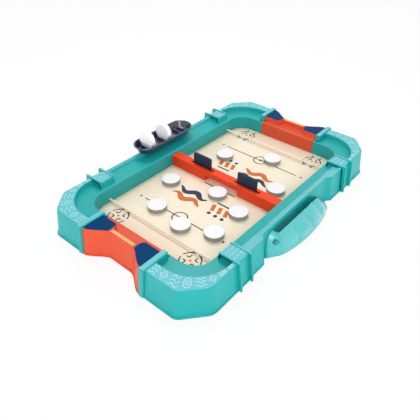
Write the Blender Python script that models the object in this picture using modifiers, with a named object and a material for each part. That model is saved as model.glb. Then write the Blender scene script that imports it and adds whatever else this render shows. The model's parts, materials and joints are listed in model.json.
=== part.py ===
"""Table hockey game: a sling puck board for two players, with a carry handle and a puck tray.

Metres, +Z up. The origin is on the table under the middle of the whole outline. +X runs along the board
towards its far end, +Y towards the puck tray and -Y towards the carry handle. The pieces are modelled
from the middle of the board, and a parent empty there places them all.
"""

import math

import bmesh
import bpy
from mathutils import Vector

# Clearances
FIT_GAP = 0.0003            # between pieces that touch
OVERRUN = 0.003             # how far a cutter runs past what it cuts
PUCK_GAP = 0.0003           # between a puck and what it lies on

# Heights above the table
PANEL_UNDERSIDE = 0.001
PANEL_THICKNESS = 0.002
BOARD_THICKNESS = 0.003
SHEET_THICKNESS = 0.0002
SHEET_TOP = 0.011
LEDGE_HEIGHT = 0.0334
RIM_HEIGHT = 0.0414

# Outer edge of the rim
RIM_HALF_LENGTH = 0.218
RIM_HALF_WIDTH = 0.1315
CHAMFER_LENGTH = 0.0295     # along X
CHAMFER_WIDTH = 0.0255      # along Y

# Playing area inside the frame
END_BORDER = 0.0428         # of the frame, from the playing area to the rim's outer edge
SIDE_BORDER = 0.0315
AREA_CORNER_RADIUS = 0.026
BOARD_BORDER = 0.003        # how far the board reaches under the inner walls

# Hollow frame
WALL = 0.002
EDGE_ROUND = 0.0012
STEP_RUN = 0.0006
OUTER_DRAFT = 0.005         # how far the outer wall leans out at its foot
LIP_PROUD = 0.0012
LIP_HEIGHT = 0.0025
CORNER_LEDGE = 0.024        # width of the ledge inside a corner's rim

# Long rails
RAIL_SET_IN = 0.0015        # from the rim's outer edge at the corners
TRAY_RAIL_RIM = 0.0058      # width of its raised rim
HANDLE_RAIL_RIM = 0.016
RAIL_LEDGE_RISE = 0.002
TRAY_RAIL_RIM_DROP = 0.0028
HANDLE_RAIL_RIM_DROP = 0.0038
RAIL_RECESS = 0.006         # how far the handle side's outer wall curves in behind the handle
RAIL_RECESS_MARGIN = 0.029  # from the collars, where the curve begins
RAIL_RECESS_CURVE = 0.0105  # length of the curve

# Collars between rails and corners
COLLAR_LENGTH = 0.025
COLLAR_MARGIN = 0.0052      # from the start of the corner's arc
TRAY_COLLAR_RIM = 0.0235
HANDLE_COLLAR_RIM = 0.027
COLLAR_RISE = 0.0016        # of its plate above the rim
FIN_THICKNESS = 0.003
TRAY_FIN_PROUD = 0.0072     # outwards from the rim
HANDLE_FIN_PROUD = 0.0045
FIN_RISE = 0.003            # above the rim

# End grips
GRIP_MARGIN = 0.0225        # from the start of the corner's arc
GRIP_BITE = 0.0175          # how far the outer edge curves in at the middle
GRIP_RIM = 0.0335           # width of the raised part at the lobes
GRIP_MIDDLE_RIM = 0.0063    # width of the raised part behind the pocket
FILM_THICKNESS = 0.0003
FILM_MARGIN = 0.0003

# Ribs of the corner housings beside the grips
RIB_THICKNESS = 0.008
RIB_RISE = 0.0022           # above the rim
RIB_PROUD = 0.0032          # outwards from the rim, at the top
RIB_FOOT_PROUD = 0.001      # outwards from the lip
RIB_INSET = 0.0055          # of its raised part from the inner wall's face
RIB_WALL_INSET = 0.0004

# Divider and shutters
DIVIDER_THICKNESS = 0.0154
DIVIDER_HEIGHT = 0.0185     # above the sheet
DIVIDER_ROUND = 0.0009
GATE_HALF_WIDTH = 0.031
GATE_CLEAR_HEIGHT = 0.0095  # above the sheet
SHUTTER_THICKNESS = 0.0032
SHUTTER_WIDTH = 0.034
SHUTTER_RISE = 0.019        # above the divider
SHUTTER_PLACE = 0.042       # from the middle of the board
SHUTTER_TRAVEL = 0.0056     # each way
SHUTTER_ROUND = 0.001
SHUTTER_FOOT_OVERLAP = 0.003
SHUTTER_FOOT_MARGIN = 0.0012

# Elastic cords
CORD_SET_IN = 0.0066        # from the outer end of the collars
CORD_RADIUS = 0.0015
CORD_RISE = 0.0048          # its middle above the sheet
CORD_HOLE_CLEARANCE = 0.0004
CORD_TAIL = 0.0055          # behind the inner wall
STOP_LENGTH = 0.004
STOP_WALL = 0.0016

# Pucks
PUCK_RADIUS = 0.014
PUCK_HEIGHT = 0.008
PUCK_ROUND = 0.0008

# Puck tray on the rim of its rail
TRAY_MIDDLE_X = 0.002
TRAY_SET_IN = 0.005         # its middle from the rim's outer edge
TRAY_STRAIGHT_HALF = 0.0395
TRAY_TOP_RADIUS = 0.019
TRAY_FOOT_RADIUS = 0.013
TRAY_DEPTH = 0.012
TRAY_WALL = 0.0018
TRAY_LIP = 0.0006
TRAY_SLOT_PITCH = 0.0355
TRAY_RIB_THICKNESS = 0.0015
TRAY_RIB_HEIGHT = 0.0045
TRAY_RIB_HALF_WIDTH = 0.01
TRAY_SLOT_GAP = 0.0004
HOOK_HALF_LENGTH = 0.03
HOOK_THICKNESS = 0.0015
OUTER_HOOK_DROP = 0.008
INNER_HOOK_DROP = 0.0022

# Carry handle
HANDLE_NEAR_GAP = 0.06      # from the middle to the near end of the finger gap
HANDLE_FAR_GAP = 0.05
HANDLE_NEAR_BLOCK = 0.018   # length of the block that joins the near end to the rail
HANDLE_FAR_BLOCK = 0.026
HANDLE_BLEND = 0.002        # length over which the bow leaves its end blocks
HANDLE_TOP = 0.036
HANDLE_TIP_HEIGHT = 0.009
HANDLE_NEAR_FALL = 0.017    # length over which the top comes down to the near tip
HANDLE_FAR_FALL = 0.045
HANDLE_BACK_PROUD = 0.0105  # the bow's upper back edge, from the wall's rim behind it
HANDLE_TIP_PROUD = 0.002    # from the wall's lip
HANDLE_HEEL_PROUD = 0.012   # where the ends begin to taper, from the tips
HANDLE_BOW = 0.0078
HANDLE_BAR = 0.0042
HANDLE_CREST = 0.002
HANDLE_SHOULDER_DROP = 0.005
HANDLE_BELLY_HEIGHT = 0.018
HANDLE_UNDERSIDE = 0.0015
NEAR_SCREW_INSET = 0.0115   # of the handle's screws from its tips
FAR_SCREW_INSET = 0.019
WELL_RADIUS = 0.0037
WELL_FLOOR = 0.004          # material under a screw's head

# Screws, bosses and feet
SCREW_RADIUS = 0.0015
SCREW_LENGTH = 0.012
SCREW_HEAD_RADIUS = 0.0032
SCREW_HEAD_HEIGHT = 0.001
BOSS_RADIUS = 0.004
HOLE_DEPTH = 0.013
PAD_RADIUS = 0.0058
PAD_RISE = 0.0012           # above the panel
RAIL_SCREW_SET_IN = 0.0195  # from the rim's outer edge
GRIP_SCREW_SET_IN = 0.022
CORNER_SCREW_RADIUS = 0.046
FOOT_RADIUS = 0.006
FOOT_HEIGHT = 0.0027
FOOT_SET_OUT_X = 0.0088     # from the middle of a corner's arc
FOOT_SET_OUT_Y = 0.012
FOOT_SKIN = 0.0018          # of the panel over a foot
PANEL_RIB = 0.002
PANEL_RIB_MARGIN_X = 0.0012
PANEL_RIB_MARGIN_Y = 0.004

# Counts
ARC_STEPS = 8
BEVEL_STEPS = 2
POST_SIDES = 16
DRILL_SIDES = 12
SCREW_SIDES = 12
FOOT_SIDES = 24
PUCK_SIDES = 32
LOBE_STATIONS = 5
TRAY_SLOTS = 3
HANDLE_BLOCK_STEPS = 6
HANDLE_BAR_STEPS = 14
RECESS_STEPS = 5
PANEL_RIBS_ALONG = 3
PANEL_RIBS_ACROSS = 5
SHARP_DEGREES = 35          # where smooth shading breaks

# Shares
POCKET_INNER_SHARE = 0.505      # of a grip's half width, where the lobes stand full
POCKET_OUTER_SHARE = 0.388
GRIP_FLAT_SHARE = 0.33          # where the grip's outer edge is straight
GRIP_SCREW_SHARE = 0.738
RAIL_SCREW_SHARE = 0.7          # of a rail's half length
SHOULDER_SHARE = 0.55           # of the handle's depth, where its front face bends
BOW_POWER_SHARE = 2.2           # shape of the handle's bow
NEAR_SCREW_SHARE = 0.7          # of the handle's height at its screws
FAR_SCREW_SHARE = 0.6
NEAR_PUCK_SHARES = {            # of the cord's place along X, and of the area's half width along Y
    "near_puck_left": (-0.3246, 0.673),
    "near_puck_left_back": (-0.7591, 0.375),
    "near_puck_middle": (-0.8253, -0.159),
    "near_puck_right": (-0.3006, -0.588),
    "near_puck_right_back": (-0.7016, -0.6),
    "gate_puck": (-0.1827, -0.081),
}
FAR_PUCK_SHARES = {
    "far_puck_left": (0.4862, 0.501),
    "far_puck_middle": (0.7751, -0.174),
    "far_puck_right": (0.286, -0.679),
}

# Worked out from the above
AREA_HALF_LENGTH = RIM_HALF_LENGTH - END_BORDER
AREA_HALF_WIDTH = RIM_HALF_WIDTH - SIDE_BORDER
STEP_RADIUS = AREA_CORNER_RADIUS + CORNER_LEDGE
RAIL_REACH = RIM_HALF_WIDTH - RAIL_SET_IN
TRAY_RAIL_STEP = RAIL_REACH - TRAY_RAIL_RIM
HANDLE_RAIL_STEP = RAIL_REACH - HANDLE_RAIL_RIM
TRAY_COLLAR_STEP = RIM_HALF_WIDTH - TRAY_COLLAR_RIM
HANDLE_COLLAR_STEP = RIM_HALF_WIDTH - HANDLE_COLLAR_RIM
RECESS_REACH = RAIL_REACH - RAIL_RECESS
TRAY_MIDDLE_Y = RIM_HALF_WIDTH - TRAY_SET_IN
HANDLE_NEAR_TIP = -HANDLE_NEAR_GAP - HANDLE_NEAR_BLOCK
HANDLE_FAR_TIP = HANDLE_FAR_GAP + HANDLE_FAR_BLOCK
HANDLE_BACK = RECESS_REACH + HANDLE_BACK_PROUD
HANDLE_TIP_REACH = RECESS_REACH + OUTER_DRAFT + LIP_PROUD + HANDLE_TIP_PROUD
HANDLE_HEEL_REACH = HANDLE_TIP_REACH + HANDLE_HEEL_PROUD
GRIP_MIDDLE_REACH = RIM_HALF_LENGTH - GRIP_BITE
GRIP_STEP = RIM_HALF_LENGTH - GRIP_RIM
GRIP_POCKET_REACH = GRIP_MIDDLE_REACH - GRIP_MIDDLE_RIM
RAIL_SCREW_Y = RIM_HALF_WIDTH - RAIL_SCREW_SET_IN
GRIP_SCREW_X = RIM_HALF_LENGTH - GRIP_SCREW_SET_IN
PANEL_TOP = PANEL_UNDERSIDE + PANEL_THICKNESS
BOARD_TOP = SHEET_TOP - SHEET_THICKNESS - FIT_GAP
BOARD_UNDERSIDE = BOARD_TOP - BOARD_THICKNESS
WALL_FOOT = BOARD_TOP + FIT_GAP
LIP_TOP = PANEL_UNDERSIDE + LIP_HEIGHT
PAD_TOP = PANEL_TOP + PAD_RISE
BOSS_FOOT = PAD_TOP + FIT_GAP
CORNER_X = AREA_HALF_LENGTH - AREA_CORNER_RADIUS
CORNER_Y = AREA_HALF_WIDTH - AREA_CORNER_RADIUS
COLLAR_END = CORNER_X - COLLAR_MARGIN
COLLAR_START = COLLAR_END - COLLAR_LENGTH
GRIP_HALF_WIDTH = CORNER_Y - GRIP_MARGIN
GRIP_FLAT_HALF = GRIP_HALF_WIDTH * GRIP_FLAT_SHARE
GRIP_SCREW_Y = GRIP_HALF_WIDTH * GRIP_SCREW_SHARE
POCKET_INNER_HALF = GRIP_HALF_WIDTH * POCKET_INNER_SHARE
POCKET_OUTER_HALF = GRIP_HALF_WIDTH * POCKET_OUTER_SHARE
RIB_START = GRIP_HALF_WIDTH + FIT_GAP
RAIL_SCREW_X = COLLAR_START * RAIL_SCREW_SHARE
FOOT_X = CORNER_X + FOOT_SET_OUT_X
FOOT_Y = CORNER_Y + FOOT_SET_OUT_Y
PANEL_RIB_REACH_X = CORNER_X - PANEL_RIB_MARGIN_X
PANEL_RIB_REACH_Y = CORNER_Y - PANEL_RIB_MARGIN_Y
DIVIDER_TOP = SHEET_TOP + DIVIDER_HEIGHT
CORD_PLACE = COLLAR_END - CORD_SET_IN
CORD_HEIGHT = SHEET_TOP + CORD_RISE
PUCK_REST = SHEET_TOP + PUCK_GAP
TRAY_FOOT = RIM_HEIGHT + FIT_GAP
TRAY_FLOOR = TRAY_FOOT + TRAY_WALL
TRAY_TOP = TRAY_FOOT + TRAY_DEPTH
BOARD_MIDDLE_Y = (HANDLE_HEEL_REACH + HANDLE_BOW - TRAY_MIDDLE_Y - TRAY_TOP_RADIUS) / 2

# The ends and the sides of the board, with their directions
ENDS = {"near": -1, "far": 1}
SIDES = {"tray": 1, "handle": -1}

# Colours, as red, green and blue out of FULL
FULL = 255
DISPLAY_POWER = 2.2
TURQUOISE = (78, 188, 186)
ORANGE = (228, 72, 38)
NAVY = (9, 72, 112)
DARK_NAVY = (22, 34, 58)
CREAM = (247, 236, 214)
BOARD_BROWN = (176, 150, 118)
CORD_CREAM = (250, 240, 220)
PUCK_WHITE = (246, 247, 250)
PANEL_GREY = (196, 204, 206)
RUBBER_GREY = (52, 54, 58)
STEEL = (150, 152, 156)


def clear_scene():
    """Remove whatever the open file holds."""
    for thing in list(bpy.data.objects):
        bpy.data.objects.remove(thing, do_unlink=True)


def new_collection(name):
    """A collection linked into the scene."""
    group = bpy.data.collections.new(name)
    bpy.context.scene.collection.children.link(group)
    return group


def linear(channel):
    """A display colour's channel as linear light."""
    return (channel / FULL) ** DISPLAY_POWER


def plastic(name, colour, roughness, metallic=0.0):
    """A Principled material."""
    made = bpy.data.materials.new(name)
    made.use_nodes = True
    shader = made.node_tree.nodes["Principled BSDF"]
    tint = [linear(channel) for channel in colour]
    shader.inputs["Base Color"].default_value = (*tint, 1.0)
    shader.inputs["Roughness"].default_value = roughness
    shader.inputs["Metallic"].default_value = metallic
    made.diffuse_color = (*tint, 1.0)
    return made


def object_from(name, bm):
    """An object in the scene from a bmesh, which is freed."""
    mesh = bpy.data.meshes.new(name)
    bm.to_mesh(mesh)
    bm.free()
    return bpy.data.objects.new(name, mesh)


def keep(thing, material):
    """Put a finished sub-part in the object's collection."""
    parts.objects.link(thing)
    thing.parent = board_middle
    thing.data.materials.clear()
    thing.data.materials.append(material)
    return thing


def as_cutter(thing):
    """Put a guide shape in the cutters' collection."""
    cutters.objects.link(thing)
    thing.parent = board_middle
    thing.hide_render = True
    thing.display_type = "WIRE"
    return thing


def combine(target, tool, operation):
    """Join a tool to a target, or cut it out."""
    if tool.name not in cutters.objects:
        as_cutter(tool)
    step = target.modifiers.new(tool.name, "BOOLEAN")
    step.operation = operation
    step.solver = "EXACT"
    step.object = tool
    return target


def loft(name, loops):
    """A closed solid through closed loops of points, capped at its first and last loop."""
    bm = bmesh.new()
    rings = [[bm.verts.new(point) for point in loop] for loop in loops]
    for ring, following in zip(rings, rings[1:]):
        for index, vertex in enumerate(ring):
            after = (index + 1) % len(ring)
            bm.faces.new((vertex, ring[after], following[after], following[index]))
    bm.faces.new(rings[0])
    bm.faces.new(rings[-1])
    bm.normal_update()
    bmesh.ops.triangulate(bm, faces=bm.faces)
    bmesh.ops.recalc_face_normals(bm, faces=bm.faces)
    return object_from(name, bm)


def plate(name, outline, low, high):
    """A flat outline with straight sides between two heights."""
    curve = bpy.data.curves.new(name, "CURVE")
    curve.dimensions = "2D"
    curve.fill_mode = "BOTH"
    curve.extrude = (high - low) / 2
    spline = curve.splines.new("POLY")
    spline.points.add(len(outline) - 1)
    for point, (x, y) in zip(spline.points, outline):
        point.co = (x, y, 0, 1)
    spline.use_cyclic_u = True
    guide = bpy.data.objects.new(name + "_curve", curve)
    guide.location.z = (low + high) / 2
    return meshed(guide, name)


def meshed(guide, name):
    """A closed mesh object in place of a curve object."""
    bpy.context.scene.collection.objects.link(guide)
    bpy.context.view_layer.update()
    graph = bpy.context.evaluated_depsgraph_get()
    mesh = bpy.data.meshes.new_from_object(guide.evaluated_get(graph))
    mesh.transform(guide.matrix_world)
    bm = bmesh.new()
    bm.from_mesh(mesh)
    bmesh.ops.remove_doubles(bm, verts=bm.verts, dist=FIT_GAP / 100)
    bmesh.ops.recalc_face_normals(bm, faces=bm.faces)
    bpy.data.objects.remove(guide, do_unlink=True)
    bpy.data.meshes.remove(mesh)
    return object_from(name, bm)


def block(name, low, high):
    """A box between its lowest and its highest corner."""
    bm = bmesh.new()
    bmesh.ops.create_cube(bm, size=1.0)
    size = Vector(high) - Vector(low)
    middle = (Vector(high) + Vector(low)) / 2
    bmesh.ops.scale(bm, vec=size, verts=bm.verts)
    bmesh.ops.translate(bm, vec=middle, verts=bm.verts)
    return object_from(name, bm)


def blocks(name, corners):
    """Several boxes, apart from each other, in one mesh."""
    bm = bmesh.new()
    for low, high in corners:
        made = bmesh.ops.create_cube(bm, size=1.0)
        size = Vector(high) - Vector(low)
        middle = (Vector(high) + Vector(low)) / 2
        bmesh.ops.scale(bm, vec=size, verts=made["verts"])
        bmesh.ops.translate(bm, vec=middle, verts=made["verts"])
    return object_from(name, bm)


def posts(name, places, radius, low, high, sides=POST_SIDES):
    """Upright round posts, apart from each other, in one mesh."""
    bm = bmesh.new()
    for x, y in places:
        made = bmesh.ops.create_cone(bm, cap_ends=True, segments=sides, radius1=radius,
                                     radius2=radius, depth=high - low)
        bmesh.ops.translate(bm, vec=(x, y, (low + high) / 2), verts=made["verts"])
    return object_from(name, bm)


def turned(name, profile, sides):
    """A shape turned about Z from a profile of (radius, height) that runs down its outer side."""
    bm = bmesh.new()
    points = [bm.verts.new((radius, 0, height)) for radius, height in profile]
    for start, end in zip(points, points[1:]):
        bm.edges.new((start, end))
    made = object_from(name, bm)
    spin = made.modifiers.new("turn", "SCREW")
    spin.steps = sides
    spin.render_steps = sides
    spin.use_merge_vertices = True
    spin.merge_threshold = FIT_GAP / 30
    return made


def smooth(thing):
    """Round pieces shade smooth up to their edges."""
    thing.data.shade_smooth()
    thing.data.set_sharp_from_angle(angle=math.radians(SHARP_DEGREES))


def outer_lean(height):
    """How far the outer wall stands out at a height, from its place at the rim."""
    return OUTER_DRAFT * (RIM_HEIGHT - height) / (RIM_HEIGHT - PANEL_UNDERSIDE)


def frame_section(inner, step, outer, ledge_rise, rim_drop):
    """One closed section of the hollow frame.

    inner, step and outer give a point in plan at an outward offset from the inner wall, from the rim's
    inner edge and from the rim's outer edge.
    """
    ledge_end = LEDGE_HEIGHT + ledge_rise
    rim_start = RIM_HEIGHT - rim_drop
    shape = [
        (inner, 0, WALL_FOOT),
        (inner, 0, LEDGE_HEIGHT - EDGE_ROUND),
        (inner, EDGE_ROUND, LEDGE_HEIGHT),
        (step, 0, ledge_end),
        (step, STEP_RUN, rim_start - STEP_RUN),
        (step, STEP_RUN + STEP_RUN, rim_start),
        (outer, -EDGE_ROUND, RIM_HEIGHT),
        (outer, outer_lean(RIM_HEIGHT - EDGE_ROUND), RIM_HEIGHT - EDGE_ROUND),
        (outer, outer_lean(LIP_TOP), LIP_TOP),
        (outer, outer_lean(LIP_TOP) + LIP_PROUD, LIP_TOP),
        (outer, OUTER_DRAFT + LIP_PROUD, PANEL_UNDERSIDE),
        (outer, OUTER_DRAFT - WALL, PANEL_UNDERSIDE),
        (outer, -WALL, RIM_HEIGHT - WALL),
        (step, STEP_RUN + WALL, rim_start - WALL),
        (step, WALL, ledge_end - WALL),
        (inner, WALL, LEDGE_HEIGHT - WALL),
        (inner, WALL, WALL_FOOT),
    ]
    return [(*line(offset), height) for line, offset, height in shape]


def side_section(x, side, step_place, outer_place, ledge_rise, rim_drop):
    """A section of the frame across a long side, at x."""
    def line(start):
        return lambda offset: (x, side * (start + offset))

    return frame_section(line(AREA_HALF_WIDTH), line(step_place), line(outer_place), ledge_rise, rim_drop)


def chamfer_corners(offset):
    """The two corners of the outer chamfer, moved outwards by an offset."""
    size = math.hypot(CHAMFER_LENGTH, CHAMFER_WIDTH)
    normal_x = CHAMFER_WIDTH / size
    normal_y = CHAMFER_LENGTH / size
    side_corner = (RIM_HALF_LENGTH - CHAMFER_LENGTH + offset * (1 - normal_y) / normal_x,
                   RIM_HALF_WIDTH + offset)
    end_corner = (RIM_HALF_LENGTH + offset,
                  RIM_HALF_WIDTH - CHAMFER_WIDTH + offset * (1 - normal_x) / normal_y)
    return side_corner, end_corner


def corner_outer_point(angle, offset):
    """A point of the octagonal outer edge on a ray from the corner's middle."""
    side_corner, end_corner = chamfer_corners(offset)
    plain_side, plain_end = chamfer_corners(0)
    half_step = math.pi / 4 / ARC_STEPS
    side_angle = math.atan2(plain_side[1] - CORNER_Y, plain_side[0] - CORNER_X)
    end_angle = math.atan2(plain_end[1] - CORNER_Y, plain_end[0] - CORNER_X)
    if abs(angle - side_angle) <= half_step:
        return side_corner
    if abs(angle - end_angle) <= half_step:
        return end_corner
    if angle > side_angle:
        return CORNER_X + (RIM_HALF_WIDTH - CORNER_Y) / math.tan(angle), RIM_HALF_WIDTH + offset
    if angle < end_angle:
        return RIM_HALF_LENGTH + offset, CORNER_Y + (RIM_HALF_LENGTH - CORNER_X) * math.tan(angle)
    share = (side_angle - angle) / (side_angle - end_angle)
    return (side_corner[0] + (end_corner[0] - side_corner[0]) * share,
            side_corner[1] + (end_corner[1] - side_corner[1]) * share)


def corner_sections(side_x, side_y):
    """Sections of one corner housing, from its collar round to its rib."""
    def signed(point):
        return side_x * point[0], side_y * point[1]

    def ring(radius, anchor, angle):
        return lambda offset: signed((anchor[0] + (radius + offset) * math.cos(angle),
                                      anchor[1] + (radius + offset) * math.sin(angle)))

    start = COLLAR_END + FIT_GAP
    end = RIB_START + FIT_GAP
    middle = (CORNER_X, CORNER_Y)
    right = math.pi / 2
    stations = [((start, CORNER_Y), right, lambda offset: signed((start, RIM_HALF_WIDTH + offset)))]
    for index in range(ARC_STEPS + 1):
        angle = right * (1 - index / ARC_STEPS)
        stations.append((middle, angle, edge_line(angle, signed)))
    stations.append(((CORNER_X, end), 0, lambda offset: signed((RIM_HALF_LENGTH + offset, end))))
    return [frame_section(ring(AREA_CORNER_RADIUS, anchor, angle), ring(STEP_RADIUS, anchor, angle),
                          outer, 0, 0)
            for anchor, angle, outer in stations]


def edge_line(angle, signed):
    """The outer edge's place on one ray, as a function of the offset."""
    if angle >= math.pi / 2:
        return lambda offset: signed((CORNER_X, RIM_HALF_WIDTH + offset))
    return lambda offset: signed(corner_outer_point(angle, offset))


def rib_solid(name, side_x, side_y):
    """The rib of a corner housing, which closes its end beside the grip."""
    top = RIM_HEIGHT + RIB_RISE
    wall = AREA_HALF_LENGTH + RIB_WALL_INSET
    inner = AREA_HALF_LENGTH + RIB_INSET
    outer = RIM_HALF_LENGTH + RIB_PROUD
    foot = RIM_HALF_LENGTH + OUTER_DRAFT
    profile = [
        (wall, WALL_FOOT),
        (wall, LEDGE_HEIGHT - EDGE_ROUND),
        (wall + EDGE_ROUND, LEDGE_HEIGHT),
        (inner, LEDGE_HEIGHT),
        (inner, top - EDGE_ROUND),
        (inner + EDGE_ROUND, top),
        (outer - EDGE_ROUND, top),
        (outer, top - EDGE_ROUND),
        (foot + LIP_PROUD + RIB_FOOT_PROUD, LIP_TOP),
        (foot + LIP_PROUD + RIB_FOOT_PROUD, PANEL_UNDERSIDE),
        (foot - WALL, PANEL_UNDERSIDE),
        (foot - WALL, BOSS_FOOT),
        (AREA_HALF_LENGTH + BOARD_BORDER + WALL, BOSS_FOOT),
        (AREA_HALF_LENGTH + BOARD_BORDER + WALL, WALL_FOOT),
    ]
    loops = []
    for y in (RIB_START, RIB_START + RIB_THICKNESS):
        loops.append([(side_x * x, side_y * y, z) for x, z in profile])
    return loft(name, loops)


def corner_screw(side_x, side_y):
    """Where a corner housing's screw goes."""
    reach = CORNER_SCREW_RADIUS * math.sqrt(0.5)
    return side_x * (CORNER_X + reach), side_y * (CORNER_Y + reach)


def add_bosses(target, places, ceiling):
    """Screw bosses under a hollow piece, from its ceiling to the panel's pads."""
    name = target.name
    combine(target, posts(name + "_bosses", places, BOSS_RADIUS, BOSS_FOOT, ceiling), "UNION")
    drill = posts(name + "_drill", places, SCREW_RADIUS + FIT_GAP, BOSS_FOOT - OVERRUN,
                  BOSS_FOOT + HOLE_DEPTH)
    combine(target, drill, "DIFFERENCE")


def corner_housing(name, side_x, side_y):
    """One corner of the frame."""
    housing = keep(loft(name, corner_sections(side_x, side_y)), turquoise)
    combine(housing, rib_solid(name + "_rib", side_x, side_y), "UNION")
    add_bosses(housing, [corner_screw(side_x, side_y)], LEDGE_HEIGHT - WALL / 2)
    return housing


def long_rail(name, side, stations, step_place, rim_drop):
    """One long side of the frame, between its collars; stations are (x, outer edge)."""
    loops = [side_section(x, side, step_place, outer_place, RAIL_LEDGE_RISE, rim_drop)
             for x, outer_place in stations]
    rail = keep(loft(name, loops), turquoise)
    places = [(x, side * RAIL_SCREW_Y) for x in (-RAIL_SCREW_X, RAIL_SCREW_X)]
    rise = RAIL_LEDGE_RISE * (RAIL_SCREW_Y - AREA_HALF_WIDTH) / (step_place - AREA_HALF_WIDTH)
    add_bosses(rail, places, LEDGE_HEIGHT + rise - WALL / 2)
    return rail


def ease_share(share):
    """A share from 0 to 1 with a soft start and a soft end."""
    share = min(max(share, 0), 1)
    return share * share * (3 - 2 * share)


def tray_rail_stations(reach):
    """The tray side's rail runs straight between the collars."""
    return [(-reach, RAIL_REACH), (reach, RAIL_REACH)]


def handle_rail_stations(reach):
    """The handle side's rail curves in behind the handle."""
    start = COLLAR_START - RAIL_RECESS_MARGIN
    half = [(reach, RAIL_REACH)]
    for index in range(RECESS_STEPS + 1):
        share = index / RECESS_STEPS
        half.append((start - RAIL_RECESS_CURVE * share, RAIL_REACH - RAIL_RECESS * ease_share(share)))
    return [(-x, outer_place) for x, outer_place in half] + half[::-1]


def fin_profile(step_place, proud):
    """A collar's fin, in plan distance and height."""
    top = RIM_HEIGHT + FIN_RISE
    rim = RIM_HALF_WIDTH + proud
    foot = rim + OUTER_DRAFT
    return [
        (step_place, BOSS_FOOT),
        (step_place, top - EDGE_ROUND),
        (step_place + EDGE_ROUND, top),
        (rim - EDGE_ROUND, top),
        (rim, top - EDGE_ROUND),
        (foot, LIP_TOP),
        (foot, PANEL_UNDERSIDE),
        (RIM_HALF_WIDTH + OUTER_DRAFT - WALL, PANEL_UNDERSIDE),
        (RIM_HALF_WIDTH + OUTER_DRAFT - WALL, BOSS_FOOT),
    ]


def collar(name, side_x, side_y):
    """One collar, with a raised plate, a fin at each end and the cord's hole in its inner wall."""
    inner_end = COLLAR_START + FIT_GAP
    outer_end = COLLAR_END - FIT_GAP
    step_place = TRAY_COLLAR_STEP if side_y > 0 else HANDLE_COLLAR_STEP
    proud = TRAY_FIN_PROUD if side_y > 0 else HANDLE_FIN_PROUD
    loops = [side_section(side_x * x, side_y, step_place, RIM_HALF_WIDTH, 0, 0)
             for x in (inner_end, outer_end)]
    made = keep(loft(name, loops), turquoise)
    plate_low, plate_high = sorted((side_y * (step_place + EDGE_ROUND), side_y * (RIM_HALF_WIDTH - EDGE_ROUND)))
    near_x, far_x = sorted((side_x * inner_end, side_x * outer_end))
    combine(made, block(name + "_plate", (near_x, plate_low, RIM_HEIGHT - WALL / 2),
                        (far_x, plate_high, RIM_HEIGHT + COLLAR_RISE)), "UNION")
    starts = {"inner_fin": COLLAR_START, "outer_fin": COLLAR_END - FIN_THICKNESS}
    for fin_name, start in starts.items():
        fin_loops = [[(side_x * x, side_y * y, z) for y, z in fin_profile(step_place, proud)]
                     for x in (start, start + FIN_THICKNESS)]
        combine(made, loft(name + "_" + fin_name, fin_loops), "UNION")
    drill = cord_drill(name + "_cord_drill", side_x, side_y)
    combine(made, drill, "DIFFERENCE")
    return made


def cross_rod(name, x, z, radius, start, end):
    """A round rod along Y from one distance to another."""
    bm = bmesh.new()
    bmesh.ops.create_cone(bm, cap_ends=True, segments=DRILL_SIDES, radius1=radius, radius2=radius,
                          depth=abs(end - start))
    rod = object_from(name, bm)
    rod.rotation_euler.x = math.pi / 2
    rod.location = (x, (start + end) / 2, z)
    return rod


def cord_drill(name, side_x, side_y):
    """The round hole for a cord through a collar's inner wall."""
    start = side_y * (AREA_HALF_WIDTH - OVERRUN)
    end = side_y * (AREA_HALF_WIDTH + WALL + OVERRUN)
    return cross_rod(name, side_x * CORD_PLACE, CORD_HEIGHT, CORD_RADIUS + CORD_HOLE_CLEARANCE, start, end)


def grip_reach(y):
    """The outer edge of a grip, which curves in towards its middle."""
    share = (abs(y) - GRIP_FLAT_HALF) / (GRIP_HALF_WIDTH - GRIP_FLAT_HALF)
    return GRIP_MIDDLE_REACH + (RIM_HALF_LENGTH - GRIP_MIDDLE_REACH) * ease_share(share)


def grip_step(y):
    """The inner edge of a grip's raised part, which steps out round the pocket."""
    share = (abs(y) - POCKET_OUTER_HALF) / (POCKET_INNER_HALF - POCKET_OUTER_HALF)
    share = min(max(share, 0), 1)
    return GRIP_POCKET_REACH + (GRIP_STEP - GRIP_POCKET_REACH) * share


def grip_stations(half_width):
    """Where a grip's sections lie, from one end to the other."""
    inner_half = [0, POCKET_OUTER_HALF / 2, POCKET_OUTER_HALF, POCKET_INNER_HALF]
    outer_half = [POCKET_INNER_HALF + (half_width - POCKET_INNER_HALF) * (index + 1) / LOBE_STATIONS
                  for index in range(LOBE_STATIONS)]
    half = inner_half + outer_half
    return [-y for y in reversed(half[1:])] + half


def grip_sections(side_x):
    """Sections of one grip along Y."""
    def line(start, y):
        return lambda offset: (side_x * (start + offset), y)

    return [frame_section(line(AREA_HALF_LENGTH, y), line(grip_step(y), y), line(grip_reach(y), y), 0, 0)
            for y in grip_stations(GRIP_HALF_WIDTH)]


def end_grip(name, side_x):
    """One orange grip between the ribs of two corner housings."""
    grip = keep(loft(name, grip_sections(side_x)), orange)
    places = [(side_x * GRIP_SCREW_X, y) for y in (-GRIP_SCREW_Y, GRIP_SCREW_Y)]
    add_bosses(grip, places, RIM_HEIGHT - WALL / 2)
    return grip


def grip_film(name, side_x):
    """The printed film on a grip's raised part."""
    inner_margin = STEP_RUN + STEP_RUN + FILM_MARGIN
    outer_margin = EDGE_ROUND + FILM_MARGIN
    stations = grip_stations(GRIP_HALF_WIDTH - FILM_MARGIN)
    inner = [(side_x * (grip_step(y) + inner_margin), y) for y in stations]
    outer = [(side_x * (grip_reach(y) - outer_margin), y) for y in reversed(stations)]
    low = RIM_HEIGHT + FIT_GAP
    return keep(plate(name, inner + outer, low, low + FILM_THICKNESS), navy)


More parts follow.
